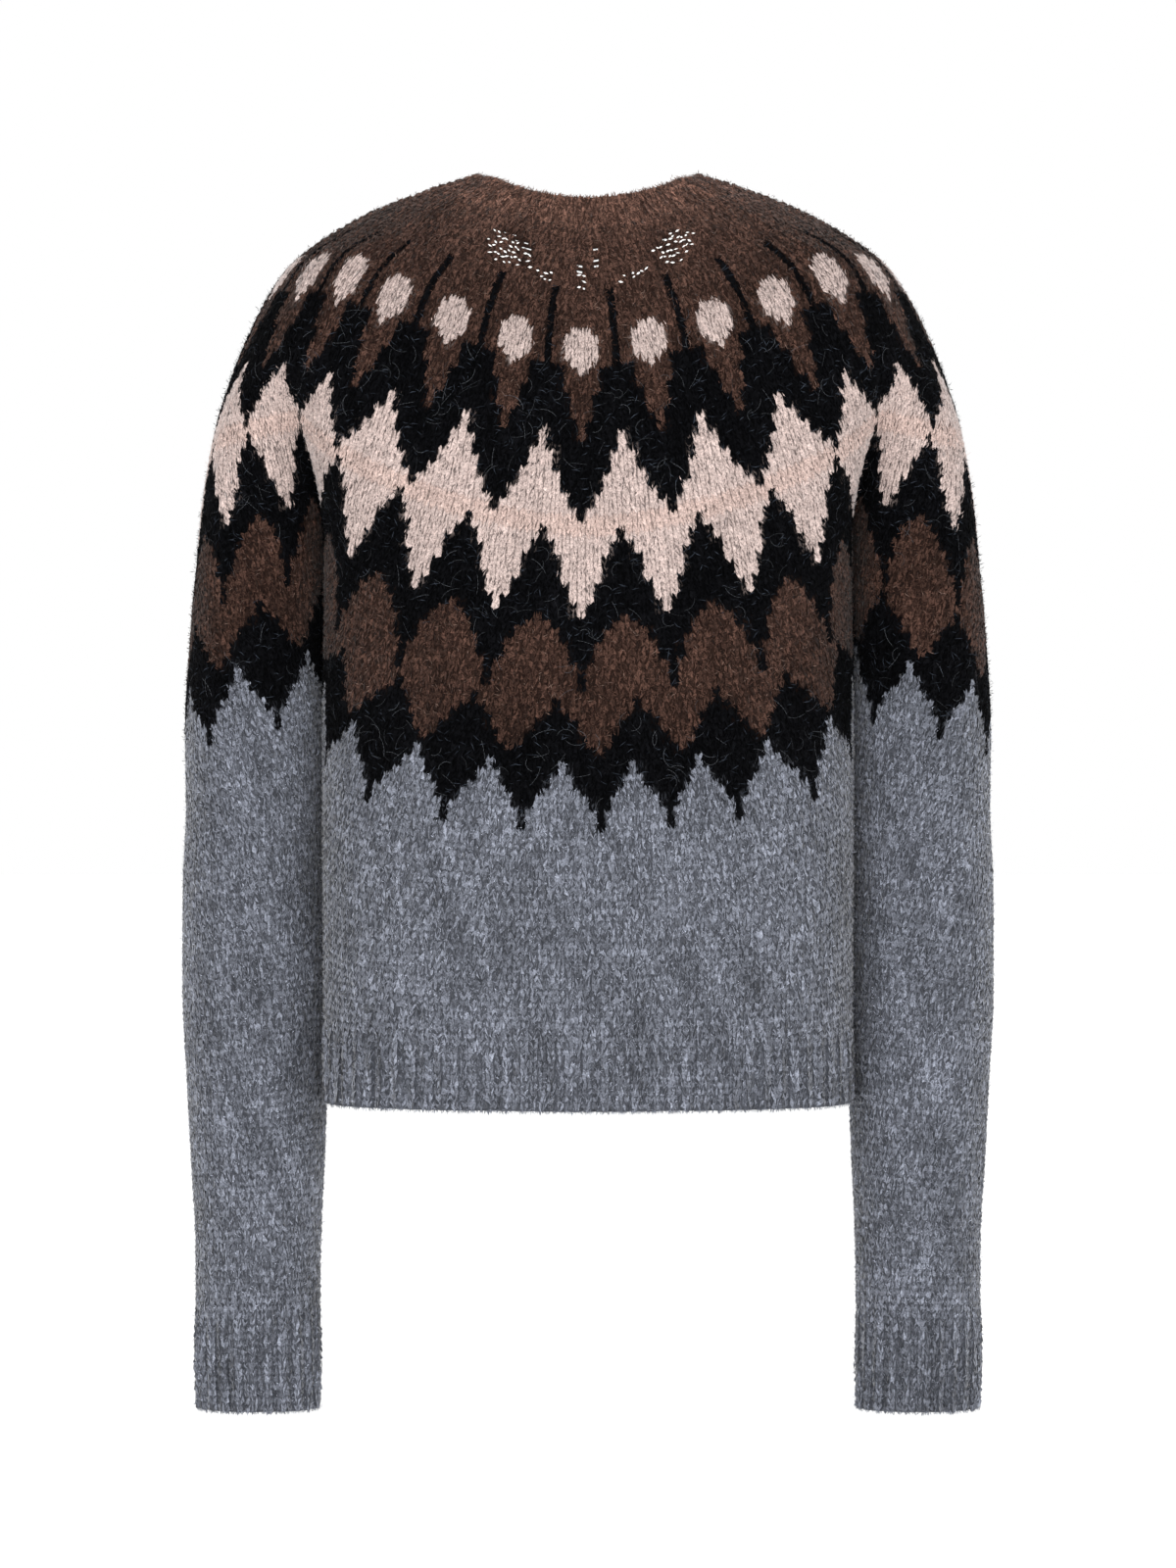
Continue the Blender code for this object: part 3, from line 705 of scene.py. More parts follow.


# ---------------------------------------------------------------- colours and materials

# How each yarn looks: its colour, how unevenly its stitches and its hairs are lit, the length of
# its hairs, half their width, how far they lean either way of upright, in metres and radians, and
# how much lighter the hairs are that stand off the cloth, as painted light for the bright halo of
# fuzz at the edges
YARN_COLUMNS = (
    "colour", "stitch_shade", "hair_shade", "shortest", "longest", "half_width", "lean", "standing",
)
YARN_ROWS = {
    BROWN: ((0.0800, 0.0415, 0.0305), 0.50, 1.00, 0.0020, 0.0042, 0.00021, 1.00, 1.5),
    BLACK: ((0.0024, 0.0025, 0.0031), 0.30, 0.50, 0.0028, 0.0056, 0.00020, 0.70, 1.8),
    PEACH: ((0.5150, 0.4100, 0.3780), 0.09, 0.12, 0.0028, 0.0058, 0.00023, 0.22, 1.15),
    GREY: ((0.1350, 0.1445, 0.1740), 0.38, 1.10, 0.0020, 0.0040, 0.00018, 0.62, 2.2),
}
YARN = {
    column: np.array([YARN_ROWS[yarn][index] for yarn in range(len(YARN_ROWS))])
    for index, column in enumerate(YARN_COLUMNS)
}
DARKEST, LIGHTEST = 0.26, 1.8

# How light the brown and the peach wool is, by course. The brown is lightest on the neckband and darker
# down the yoke: painted light and shade, for the top of the yoke sloping up towards the light. The
# peach is darker in the small motifs above, and warmer in the rows where it goes all round.
BROWN_PAINTED_LIGHT = np.array([
    (0.000, 1.44), (0.020, 1.44), (0.034, 0.82), (0.070, 0.62), (0.110, 0.49), (0.170, 0.68),
    (0.270, 0.58), (0.340, 0.50),
])
PEACH_LIGHT = np.array([(0.125, 0.920), (0.150, 1.01)])
WARM_ROWS = range(51, 54)
WARM_PEACH = (1.02, 0.965, 0.935)

# Slow light and dark patches over the cloth, partly the wool's own uneven tone and partly painted
# shade of soft folds: waves that run all ways, longer down than across
PATCH_WAVES = 16
PATCH_SHORTEST = 0.012
PATCH_LONGEST = 0.060
PATCH_DEPTH = 0.13
PEACH_PATCH_DEPTH = 0.3 * PATCH_DEPTH
PATCH_STRETCH = 0.5


def wool_colour(yarn, course):
    """The colour of each yarn at a course, with the brown's painted light and shade."""
    brown = np.interp(course, *BROWN_PAINTED_LIGHT.T)
    peach = np.interp(course, *PEACH_LIGHT.T)
    light = np.where(yarn == BROWN, brown, np.where(yarn == PEACH, peach, 1))[:, None]
    warm = (yarn == PEACH) & (int(course // ROW) in WARM_ROWS)
    return YARN["colour"][yarn] * light * np.where(warm[:, None], WARM_PEACH, 1)


def uneven(count, spread, middle=0.0):
    """Random light and dark, about 1."""
    return np.clip(np.exp(random.normal(middle, 1, count) * spread), DARKEST, LIGHTEST)


def set_inputs(node, values):
    """Sets values on a node's own sockets."""
    for socket, value in values.items():
        node.inputs[socket].default_value = value
    return node


def new_node(tree, kind, values=None):
    return set_inputs(tree.nodes.new(f"ShaderNode{kind}"), values or {})


def new_material(name, values):
    """A material with these values on its shader, its node tree and the shader."""
    material = bpy.data.materials.new(name)
    material.use_nodes = True
    tree = material.node_tree
    return material, tree, set_inputs(tree.nodes["Principled BSDF"], values)


def wool(name, sheen, specular, strength, grain=1100.0, relief=0.0):
    """Brushed wool: the piece's own yarn colours, broken up by fine light and dark hair."""
    material, tree, shader = new_material(name, {
        "Roughness": 0.95, "Specular IOR Level": specular, "Sheen Weight": sheen, "Sheen Roughness": 0.5,
    })
    link = tree.links.new
    yarn = new_node(tree, "Attribute")
    yarn.attribute_name = "yarn"
    where = new_node(tree, "TexCoord")
    noise = new_node(tree, "TexNoise", {"Scale": grain, "Detail": 2})
    spread = new_node(tree, "MapRange", {
        "From Min": 0.3, "From Max": 0.7, "To Min": 1 - strength, "To Max": 1 + strength,
    })
    mix = new_node(tree, "VectorMath")
    mix.operation = "MULTIPLY"
    link(where.outputs["Object"], noise.inputs["Vector"])
    link(noise.outputs["Fac"], spread.inputs["Value"])
    link(yarn.outputs["Color"], mix.inputs[0])
    link(spread.outputs["Result"], mix.inputs[1])
    link(mix.outputs["Vector"], shader.inputs["Base Color"])
    if relief:
        bump = new_node(tree, "Bump", {"Strength": 0.6, "Distance": relief})
        link(noise.outputs["Fac"], bump.inputs["Height"])
        link(bump.outputs["Normal"], shader.inputs["Normal"])
    return material


def horn():
    """Dark polished horn with paler streaks."""
    material, tree, shader = new_material("horn", {"Coat Weight": 0.15, "Coat Roughness": 0.12})
    link = tree.links.new
    where = new_node(tree, "TexCoord")
    stretch = new_node(tree, "Mapping", {"Scale": (60, 260, 60)})
    noise = new_node(tree, "TexNoise", {"Scale": 1.6, "Detail": 5, "Distortion": 1.2})
    ramp = new_node(tree, "ValToRGB")
    dark, pale = ramp.color_ramp.elements
    dark.position, dark.color = 0.38, (0.012, 0.008, 0.006, 1)
    pale.position, pale.color = 0.72, (0.080, 0.045, 0.027, 1)
    spread = new_node(tree, "MapRange", {"To Min": 0.28, "To Max": 0.45})
    link(where.outputs["Object"], stretch.inputs["Vector"])
    link(stretch.outputs["Vector"], noise.inputs["Vector"])
    link(noise.outputs["Fac"], ramp.inputs["Fac"])
    link(ramp.outputs["Color"], shader.inputs["Base Color"])
    link(noise.outputs["Fac"], spread.inputs["Value"])
    link(spread.outputs["Result"], shader.inputs["Roughness"])
    return material


HAIR_WOOLS = (
    wool("light_wool", 0.45, 0.08, 0.46),
    wool("brown_wool", 0.12, 0.04, 0.62),
    wool("black_wool", 0.01, 0.03, 0.45),
)
WALL_WOOLS = (
    wool("light_wool_wall", 0.10, 0.10, 0.35, grain=420.0, relief=0.0012),
    wool("brown_wool_wall", 0.05, 0.04, 0.35, grain=420.0, relief=0.0012),
    wool("black_wool_wall", 0.01, 0.03, 0.35, grain=420.0, relief=0.0012),
)
WOOL_OF_YARN = np.array([1, 2, 0, 0])

patch_ways = random.normal(0, 1, (PATCH_WAVES, 3))
patch_ways /= np.linalg.norm(patch_ways, axis=1, keepdims=True)
patch_ways *= 2 * pi / random.uniform(PATCH_SHORTEST, PATCH_LONGEST, (PATCH_WAVES, 1))
patch_ways[:, 2] *= PATCH_STRETCH
patch_starts = random.uniform(0, 2 * pi, PATCH_WAVES)


def lit_wool(panel, course, place, points, yarn):
    """The wool's colours at points of a panel, with the painted light and shade of its ribs and of the
    neckband seam, and its slow patches, partly painted shade.
    """
    waves = np.sin(points @ patch_ways.T + patch_starts).sum(-1)
    depth = np.where(yarn == PEACH, PEACH_PATCH_DEPTH, PATCH_DEPTH)
    patches = 1 + depth * waves / np.sqrt(PATCH_WAVES)
    return wool_colour(yarn, course) * (panel.shade(course, place) * patches)[:, None]


# ---------------------------------------------------------------- meshes


def add_object(name, data):
    added = bpy.data.objects.new(name, data)
    bpy.context.scene.collection.objects.link(added)
    return added


def new_piece(name, points, triangles, colours, flat, wools, materials, slot):
    """A mesh piece with a colour at each point, a material for each triangle and a layout for baking."""
    mesh = bpy.data.meshes.new(name)
    mesh.vertices.add(len(points))
    mesh.vertices.foreach_set("co", points.astype(np.float32).ravel())
    count = len(triangles)
    mesh.loops.add(3 * count)
    mesh.loops.foreach_set("vertex_index", triangles.astype(np.int32).ravel())
    mesh.polygons.add(count)
    mesh.polygons.foreach_set("loop_start", np.arange(0, 3 * count, 3, dtype=np.int32))
    mesh.update(calc_edges=True)
    mesh.polygons.foreach_set("use_smooth", np.ones(count, bool))
    for material in materials:
        mesh.materials.append(material)
    mesh.polygons.foreach_set("material_index", wools.astype(np.int32))
    attribute = mesh.color_attributes.new("yarn", "FLOAT_COLOR", "POINT")
    opaque = np.column_stack([colours, np.ones(len(points))])
    attribute.data.foreach_set("color", opaque.astype(np.float32).ravel())
    layout = mesh.uv_layers.new(name="OFBake")
    layout.uv.foreach_set("vector", flat[triangles.ravel()].astype(np.float32).ravel())
    mesh.validate()
    piece = add_object(name, mesh)
    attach(piece, "root")
    return piece


# The triangles and the flat layout of a small shape, by how many points it has. A sliver, of four,
# is a hair or a strand, bent at its widest. A leaf, of five, is a leg of a stitch with a raised middle.
SHAPES = {
    4: ([(0, 1, 2), (1, 3, 2)], [(0.5, 0.1), (0.1, 0.5), (0.9, 0.5), (0.5, 0.9)]),
    5: (
        [(0, 2, 4), (2, 3, 4), (3, 1, 4), (1, 0, 4)],
        [(0.5, 0.1), (0.1, 0.5), (0.9, 0.5), (0.5, 0.9), (0.5, 0.5)],
    ),
}


def joined(groups):
    """Tuples of arrays as one tuple of longer arrays."""
    return tuple(np.concatenate(part) for part in zip(*groups))


def add_shapes(name, groups, slot):
    """One piece of many small shapes. A group is points, colours, ways out and yarns of like shapes."""
    side = int(np.ceil(np.sqrt(sum(len(group[0]) for group in groups))))
    meshes, first_point, first_shape = [], 0, 0
    for shapes, colours, out, yarn in groups:
        count, corners = shapes.shape[:2]
        shape, layout = (np.array(part) for part in SHAPES[corners])
        triangles = (np.arange(count)[:, None, None] * corners + shape).reshape(-1, 3)
        points = shapes.reshape(-1, 3)
        a, b, c = (points[triangles[:, k]] for k in range(3))
        inward = np.sum(np.cross(b - a, c - a) * np.repeat(out, len(shape), axis=0), axis=1) < 0
        triangles[inward] = triangles[inward][:, ::-1]
        number = first_shape + np.arange(count)
        cell = np.stack([number % side, number // side], 1)
        flat = ((cell[:, None] + layout) / side).reshape(-1, 2)
        wools = np.repeat(WOOL_OF_YARN[yarn], len(shape))
        meshes.append((points, triangles + first_point, colours.reshape(-1, 3), flat, wools))
        first_point += len(points)
        first_shape += count
    return new_piece(name, *joined(meshes), HAIR_WOOLS, slot)


def rows_of(panel):
    """The rows of stitches whose middles are on a panel, each with its course."""
    first, last = (int(np.ceil(end / ROW - 0.5)) for end in (panel.first, panel.last))
    return [(row, (row + 0.5) * ROW) for row in range(first, last)]


# The legs of a stitch: how far their points are to its right, up and out, in stitch widths, rows
# and metres, how light each point is, as painted shade where a point sinks into the cloth and
# painted light where it rises, and how far it may stray, in metres
LEAF_RIGHT = np.array([0.03, 0.00, 0.50, 0.33, 0.22])
LEAF = (
    np.array([-0.95, -0.10, -0.15, 1.05, -0.10]),
    np.array([0.0002, 0.0000, 0.0000, -0.0005, 0.0008]),
    np.array([0.94, 0.90, 0.90, 0.88, 1.04]),
    (0.00026, 0.00085, 0.00014),
)
STRAND_RIGHT = np.array([(0.00, -0.02, 0.26, 0.27), (0.14, 0.17, 0.50, 0.45)])
STRAND = (
    np.array([-0.62, 0.05, 0.00, 0.78]),
    np.array([-0.0003, 0.0004, 0.0004, -0.0003]),
    np.array([0.85, 1.0, 1.0, 0.95]),
    (0.00045, 0.00095, 0.00024),
)


def leg_points(origin, up, out, width, rightward, leg):
    """The points of a leg of each stitch."""
    upward, outward, _, stray = leg
    right = np.cross(up, out)
    loose = random.normal(0, 1, (len(origin), len(rightward), 3)) * stray
    x = rightward * width[:, None] + loose[:, :, 0]
    y = upward * ROW + loose[:, :, 1]
    z = outward + loose[:, :, 2]
    return (origin[:, None] + x[:, :, None] * right[:, None] + y[:, :, None] * up[:, None]
            + z[:, :, None] * out[:, None])


def add_stitches(panel, chart, slot, holes):
    """Every stitch of a panel: two leaves where it is smooth peach wool, otherwise four strands."""
    leaves, strands = [], []
    for row, course in rows_of(panel):
        place, width, yarn, numbers = chart.columns(row, course)
        whole = closed(row, numbers, holes)
        if not whole.any():
            continue
        place, width, yarn = place[whole], width[whole], yarn[whole]
        origin, up, out = panel.at(course, place)
        colour = lit_wool(panel, course, place, origin, yarn)[:, None]
        for way in (-1, 1):
            for mask, kind in ((yarn == PEACH, leaves), (yarn != PEACH, strands)):
                if not mask.any():
                    continue
                local = origin[mask], up[mask], out[mask], width[mask]
                spread = YARN["stitch_shade"][yarn[mask]]
                shade = uneven(mask.sum(), spread)[:, None]
                if kind is leaves:
                    points = leg_points(*local, way * LEAF_RIGHT, LEAF)
                    # Painted light and shade along each leg, by how far its points rise or sink
                    tinted = colour[mask] * (shade * LEAF[2])[:, :, None]
                    leaves.append((points, tinted, out[mask], yarn[mask]))
                    continue
                for rightward in STRAND_RIGHT:
                    points = leg_points(*local, way * rightward, STRAND)
                    shade = uneven(mask.sum(), spread)[:, None]
                    tinted = colour[mask] * (shade * STRAND[2])[:, :, None]
                    strands.append((points, tinted, out[mask], yarn[mask]))
    groups = [joined(kind) for kind in (leaves, strands) if kind]
    return add_shapes(f"{panel.name}_stitches", groups, slot)


# ---------------------------------------------------------------- brushed wool

# Hairs to a square metre of cloth. Those that stand are shorter. How far a hair lifts off the cloth
# and leans is in radians; its reach, rise and scatter are in metres; its arch off the cloth and its
# bend are shares of its reach.
DENSITY = 210000
HAIR_LIGHT = 0.05
LEAN_SPREAD = 0.45
LYING_LIFT = (0.12, 0.10)
STANDING_SHARE = 0.16
STANDING_LIFT = (0.4, 1.1)
STANDING_REACH = 0.65
HAIR_RISE = (0.0002, 0.0010)
HAIR_SCATTER = 0.0008
HAIR_ARCH = 0.06
HAIR_BEND = 0.07

# Dark specks in the peach wool, fewer where it goes all round: how they differ from its hairs
SPECK_COLOUR = (0.030, 0.026, 0.027)
SPECK_SHARE = 0.27
SPECKLESS_ROWS = range(50, 55)
SPECKLESS_SHARE = 0.02
SPECK_LEAN = 0.3
SPECK_REACH = 0.6
SPECK_LIFT = 0.02
SPECK_RISE = 0.0010

# Hairs of another colour among a dark yarn's own: their colour and share, and how they differ
STRAY_HAIRS = {BLACK: ((0.022, 0.026, 0.034), 0.12), BROWN: ((0.085, 0.055, 0.044), 0.08)}
STRAY_LEAN = 2
STRAY_REACH = 1.3

# Hairs to a metre of free edge: their roots are off the cloth's face and inside the edge
EDGE_DENSITY = 4200
EDGE_RISE = (-0.0026, 0.0004)
EDGE_INSET = 0.001
EDGE_LEAN = 0.7
EDGE_LIFT = 0.25
EDGE_REACH = (0.0016, 0.0042)
EDGE_LIGHT = (0.1, 0.35)

# Long hairs to a metre of a row of black wool, each a chain of slivers that lap over each other
CURLS = 26
CURL_POINTS = 6
CURL_TURN = 1.3
CURL_STEP = (0.0014, 0.0026)
CURL_RISE = 0.0016
CURL_LAP = 0.3
CURL_HALF_WIDTH = 0.00008
CURL_COLOUR = (0.085, 0.090, 0.100)
CURL_LIGHT = (0.4, 1.3)

# Pale flecks of painted light on stitches that stay closed, for light that comes through open stitches
FLECK_PAINTED_LIGHT = (0.95, 0.93, 0.91)
FLECK_LEAN = (0.35, 0.25)
FLECK_RISE = 0.0019
FLECK_SCATTER = 0.0006
FLECK_HALF_WIDTH = (0.0004, 0.0008)
FLECK_HALF_LENGTH = (0.0009, 0.0017)


def unit(rows):
    return rows / np.linalg.norm(rows, axis=-1, keepdims=True)


def sliver(start, middle, end, beside):
    """The points of slivers: the start, both edges of the widest place and the end."""
    return np.stack([start, middle - beside, middle + beside, end], axis=-2)


def hair_way(lean, lift, right, up, out):
    """The way that hairs point which lean from up to the right and lift off the cloth."""
    return (np.sin(lean) * right + np.cos(lean) * up) * np.cos(lift) + out * np.sin(lift)


def edge_hairs(panel, chart, course, way_up):
    """Hairs that stand off a free edge, up or down."""
    low, high = panel.ends(course)
    count = int((high - low) * EDGE_DENSITY)
    place = random.uniform(low, high, count)
    yarn = chart.read(panel.inside(course), place)[2]
    origin, up, out = panel.at(course, place)
    right = np.cross(up, out)
    up = way_up * up
    root = origin + out * random.uniform(*EDGE_RISE, (count, 1)) - EDGE_INSET * up
    lean = random.normal(0, EDGE_LEAN, (count, 1))
    lift = random.normal(0, EDGE_LIFT, (count, 1))
    reach = random.uniform(*EDGE_REACH, (count, 1))
    way = hair_way(lean, lift, right, up, out)
    beside = YARN["half_width"][yarn][:, None] * unit(np.cross(way, out))
    points = sliver(root, root + 0.5 * reach * way, root + reach * way, beside)
    colour = wool_colour(yarn, course) * random.lognormal(*EDGE_LIGHT, (count, 1))
    return points, np.broadcast_to(colour[:, None], points.shape), out, yarn


def curls(panel, chart, first, last):
    """Fine long hairs that wind over the black wool between two courses."""
    groups = []
    for _, course in rows_of(panel):
        if not first < course < last:
            continue
        low, high = panel.ends(course)
        place = random.uniform(low, high, random.poisson((high - low) * CURLS))
        place = place[chart.read(course, place)[2] == BLACK]
        count = len(place)
        if not count:
            continue
        origin, up, out = (part[:, None] for part in panel.at(course, place))
        turn = random.uniform(0, 2 * pi, (count, 1))
        turn = turn + random.normal(0, CURL_TURN, (count, 1)) * np.linspace(0, 1, CURL_POINTS)
        step = random.uniform(*CURL_STEP, (count, 1))
        right_by, up_by = (np.cumsum(wave(turn) * step, 1)[:, :, None] for wave in (np.cos, np.sin))
        line = origin + CURL_RISE * out + right_by * np.cross(up, out) + up_by * up
        start, end = line[:, :-1], line[:, 1:]
        beside = CURL_HALF_WIDTH * unit(np.cross(end - start, out))
        lap = CURL_LAP * (end - start)
        points = sliver(start - lap, 0.5 * (start + end), end + lap, beside).reshape(-1, 4, 3)
        number = start.shape[1]
        light = np.repeat(random.uniform(*CURL_LIGHT, count), number)[:, None, None]
        colour = np.broadcast_to(np.array(CURL_COLOUR) * light, points.shape)
        groups.append((points, colour, np.repeat(out[:, 0], number, axis=0), np.full(len(points), BLACK)))
    return groups


def fleck_slivers(panel, flecks):
    """The pale flecks of painted light on a panel."""
    groups = []
    for course, place in flecks:
        origin, up, out = panel.at(course, np.array([place]))
        lean = random.normal(*FLECK_LEAN) * random.choice((-1, 1))
        way = np.cos(lean) * np.cross(up, out) + np.sin(lean) * up
        middle = origin + FLECK_RISE * out + random.normal(0, FLECK_SCATTER) * up
        half, reach = random.uniform(*FLECK_HALF_WIDTH), random.uniform(*FLECK_HALF_LENGTH)
        points = sliver(middle - reach * way, middle, middle + reach * way, half * np.cross(way, out))
        groups.append((points, np.broadcast_to(FLECK_PAINTED_LIGHT, points.shape), out, np.array([PEACH])))
    return groups


def row_hairs(panel, chart, holes, row, course):
    """The hairs of a row of stitches, with the specks and strays among them."""
    low, high = panel.ends(course)
    place = random.uniform(low, high, int((high - low) * ROW * DENSITY))
    _, repeats, yarn = chart.read(course, place)
    whole = closed(row, np.round(repeats * stitches_in_repeat(row)), holes)
    place, yarn = place[whole], yarn[whole]
    count = len(place)
    origin, up, out = panel.at(course, place)
    right = np.cross(up, out)
    colour = lit_wool(panel, course, place, origin, yarn)
    shade = uneven(count, YARN["hair_shade"][yarn], HAIR_LIGHT)
    side = np.where(random.random(count) < 0.5, -1, 1)
    lean = side * random.normal(1, LEAN_SPREAD, count) * YARN["lean"][yarn]
    standing = random.random(count) < STANDING_SHARE
    standing_lift, lying_lift = random.uniform(*STANDING_LIFT, count), random.normal(*LYING_LIFT, count)
    lift = np.where(standing, standing_lift, np.abs(lying_lift))
    reach = random.uniform(YARN["shortest"][yarn], YARN["longest"][yarn])
    reach = np.where(standing, STANDING_REACH * reach, reach)

    chance = random.random(count)
    speck = (yarn == PEACH) & (chance < (SPECKLESS_SHARE if row in SPECKLESS_ROWS else SPECK_SHARE))
    stray = np.zeros(count, bool)
    # Painted light: hairs that stand off the cloth are lighter, for the bright halo of fuzz at the edges
    colour[standing] *= YARN["standing"][yarn[standing]][:, None]
    colour[speck] = SPECK_COLOUR
    for dark, (tint, share) in STRAY_HAIRS.items():
        chosen = (yarn == dark) & (chance < share)
        colour[chosen] = tint
        stray |= chosen
    lean = np.where(speck, SPECK_LEAN * lean, np.where(stray, STRAY_LEAN * lean, lean))[:, None]
    reach = np.where(speck, SPECK_REACH * reach, np.where(stray, STRAY_REACH * reach, reach))[:, None]
    lift = np.where(speck, SPECK_LIFT, lift)[:, None]

    up_by = random.uniform(-0.5, 0.5, count) * ROW + random.normal(0, HAIR_SCATTER, count)
    right_by = random.normal(0, HAIR_SCATTER, count)
    rise = np.where(speck, SPECK_RISE, random.uniform(*HAIR_RISE, count))
    origin = origin + up_by[:, None] * up + right_by[:, None] * right + out * rise[:, None]
    way = hair_way(lean, lift, right, up, out)
    beside = unit(np.cross(way, out))
    bend = out * HAIR_ARCH + beside * random.normal(0, HAIR_BEND, (count, 1))
    start = origin - 0.5 * reach * way * ~standing[:, None]
    middle = start + reach * (0.5 * way + bend)
    points = sliver(start, middle, start + reach * way, YARN["half_width"][yarn][:, None] * beside)
    tinted = np.broadcast_to((colour * shade[:, None])[:, None], points.shape)
    return points, tinted, out, np.where(speck, BLACK, yarn)


def add_fuzz(panel, chart, slot, holes, flecks, free_edges, curled):
    """The brushed wool of a panel: short hairs that mostly lie along it, each a bent sliver."""
    groups = [edge_hairs(panel, chart, course, way_up) for course, way_up in free_edges]
    groups += fleck_slivers(panel, flecks)
    if curled:
        groups += curls(panel, chart, *curled)
    groups += [row_hairs(panel, chart, holes, row, course) for row, course in rows_of(panel)]
    return add_shapes(f"{panel.name}_fuzz", [joined(groups)], slot)


# ---------------------------------------------------------------- walls

# How far a wall's two faces are off the panel's own face, and how light they are: the outer face,
# seen in the gaps between stitches, is darkened as painted shade, and the lining face a little. The
# top of the body and sleeves is tucked up and in, behind the yoke.
WALL_OUTER = -0.0005
WALL_INNER = -0.0029
WALL_OUTER_SHADE = 0.50
WALL_INNER_SHADE = 0.85
TUCK_RISE = 0.0026
TUCK_DEPTH = 0.0004


def row_ends(kept, loop):
    """Where the rows of kept cells end: the row, the column, and whether the cell after it is kept."""
    none = np.zeros_like(kept[:, :1])
    before = np.concatenate([kept[:, -1:] if loop else none, kept], 1)
    after = np.concatenate([kept, kept[:, :1] if loop else none], 1)
    ends = [(i, j, after[i, j]) for i, j in np.argwhere(before != after)]
    return [end for end in ends if not (loop and end[1] == kept.shape[1])]


def add_wall(panel, chart, slot, across, courses, holes):
    """The wall of a panel under its stitches, with its lining face and any open stitches cut out."""
    outer, inner, colours, yarns = [], [], [], []
    for course in courses:
        place = np.linspace(*panel.ends(course), across + 1)
        if panel.loop:
            place = place[:-1]
        origin, _, out = panel.at(course, place)
        yarn = chart.read(panel.inside(course), place)[2]
        tucked = TUCK_DEPTH if course < panel.first else 0
        outer.append(origin + (WALL_OUTER - tucked) * out)
        inner.append(origin + (WALL_INNER - tucked) * out)
        colours.append(lit_wool(panel, course, place, origin, yarn))
        yarns.append(yarn)
    count, width = len(courses), len(place)
    points = np.concatenate(outer + inner)
    colours = np.concatenate(colours)
    colours = np.concatenate([WALL_OUTER_SHADE * colours, WALL_INNER_SHADE * colours])
    yarns = np.tile(np.concatenate(yarns), 2)

    kept = np.ones((count - 1, across), bool)
    for i, course in enumerate(0.5 * (courses[:-1] + courses[1:])):
        edges = np.linspace(*panel.ends(course), across + 1)
        row, repeats, _ = chart.read(course, 0.5 * (edges[1:] + edges[:-1]))
        if abs(course / ROW - row - 0.5) < OPEN_HALF_HEIGHT:
            columns = repeats * stitches_in_repeat(row)
            numbers = np.round(columns)
            kept[i] = closed(row, numbers, holes) | (np.abs(columns - numbers) > OPEN_HALF_WIDTH)

    corner = np.arange(count * width).reshape(count, width)
    if panel.loop:
        corner = np.column_stack([corner, corner[:, 0]])
    under = count * width
    cells = np.stack([corner[:-1, :-1], corner[1:, :-1], corner[1:, 1:], corner[:-1, 1:]], 2)[kept]
    rims = [(corner[i, j], corner[i + 1, j], after) for i, j, after in row_ends(kept, panel.loop)]
    column_ends = sorted((i, j, after) for j, i, after in row_ends(kept.T, False))
    rims += [(corner[i, j], corner[i, j + 1], not after) for i, j, after in column_ends]
    rims = [(b, a) if turned else (a, b) for a, b, turned in rims]
    edges = [(a, b, b + under, a + under) for a, b in rims]
    quads = np.concatenate([cells, cells[:, ::-1] + under, edges])
    triangles = np.concatenate([quads[:, [0, 1, 2]], quads[:, [0, 2, 3]]])
    a, b, c = points[triangles[0]]
    if np.dot(np.cross(b - a, c - a), points[corner[0, 0]] - points[corner[0, 0] + under]) < 0:
        triangles = triangles[:, ::-1]
    u = np.tile(np.linspace(0, 0.5, width), count)
    v = np.repeat(np.linspace(1, 0, count), width)
    flat = np.concatenate([np.column_stack([u, v]), np.column_stack([u + 0.5, v])])
    wools = WOOL_OF_YARN[yarns[triangles[:, 0]]]
    return new_piece(f"{panel.name}_ground", points, triangles, colours, flat, wools, WALL_WOOLS, slot)


# ---------------------------------------------------------------- the garment

BAND_EDGE = 0.5 * (BAND_WIDTH - SEAM_GAP)

# How many ribs go all round, or across a band, how deep they are and how strong the painted light
# and shade on their ridges and grooves is
HEM_RIBS = dict(ribs=92, rib_depth=0.0008, groove_painted_shade=0.30)
CUFF_RIBS = dict(ribs=24, rib_depth=0.0010, groove_painted_shade=0.38)
NECK_RIBS = dict(ribs=120, rib_depth=0.0003, groove_painted_shade=0.22)
BAND_RIBS = dict(ribs=4, rib_depth=0.0008, groove_painted_shade=0.35)


def side_panels(name, line, *courses, **ribs):
    """A panel on the wearer's left and its twin on the right."""
    return (Panel(f"{name}_left", line, *courses, **ribs),
            Panel(f"{name}_right", line, *courses, twin=True, **ribs))


under_line = band_line(-BAND_EDGE, BAND_EDGE, 0)
over_line = band_line(-0.5 * BAND_WIDTH - BAND_LAP, 0.5 * BAND_WIDTH, BAND_LIFT)
neckband = Panel("neckband", yoke_line, NECK_EDGE, NECKBAND_END, two_sided=True, **NECK_RIBS)
yoke = Panel("yoke", yoke_line, NECKBAND_END, DIVISION, two_sided=True)
back = Panel("back", back_line, DIVISION, HEM_RIB_TOP, two_sided=True)
hem_back = Panel("hem_rib_back", back_line, HEM_RIB_TOP, HEM, two_sided=True, **HEM_RIBS)
front_left, front_right = side_panels("front", front_line, DIVISION, HEM_RIB_TOP)
front_hem_left, front_hem_right = side_panels("hem_rib_front", front_line, HEM_RIB_TOP, HEM, **HEM_RIBS)
sleeve_left, sleeve_right = side_panels("sleeve", sleeve_line, DIVISION, CUFF_RIB_TOP, loop=True)
cuff_left, cuff_right = side_panels("cuff", sleeve_line, CUFF_RIB_TOP, CUFF_END, loop=True, **CUFF_RIBS)
under_band = Panel("band_left", under_line, NECK_EDGE, HEM, **BAND_RIBS)
over_band = Panel("band_right", over_line, NECK_EDGE, HEM, **BAND_RIBS)

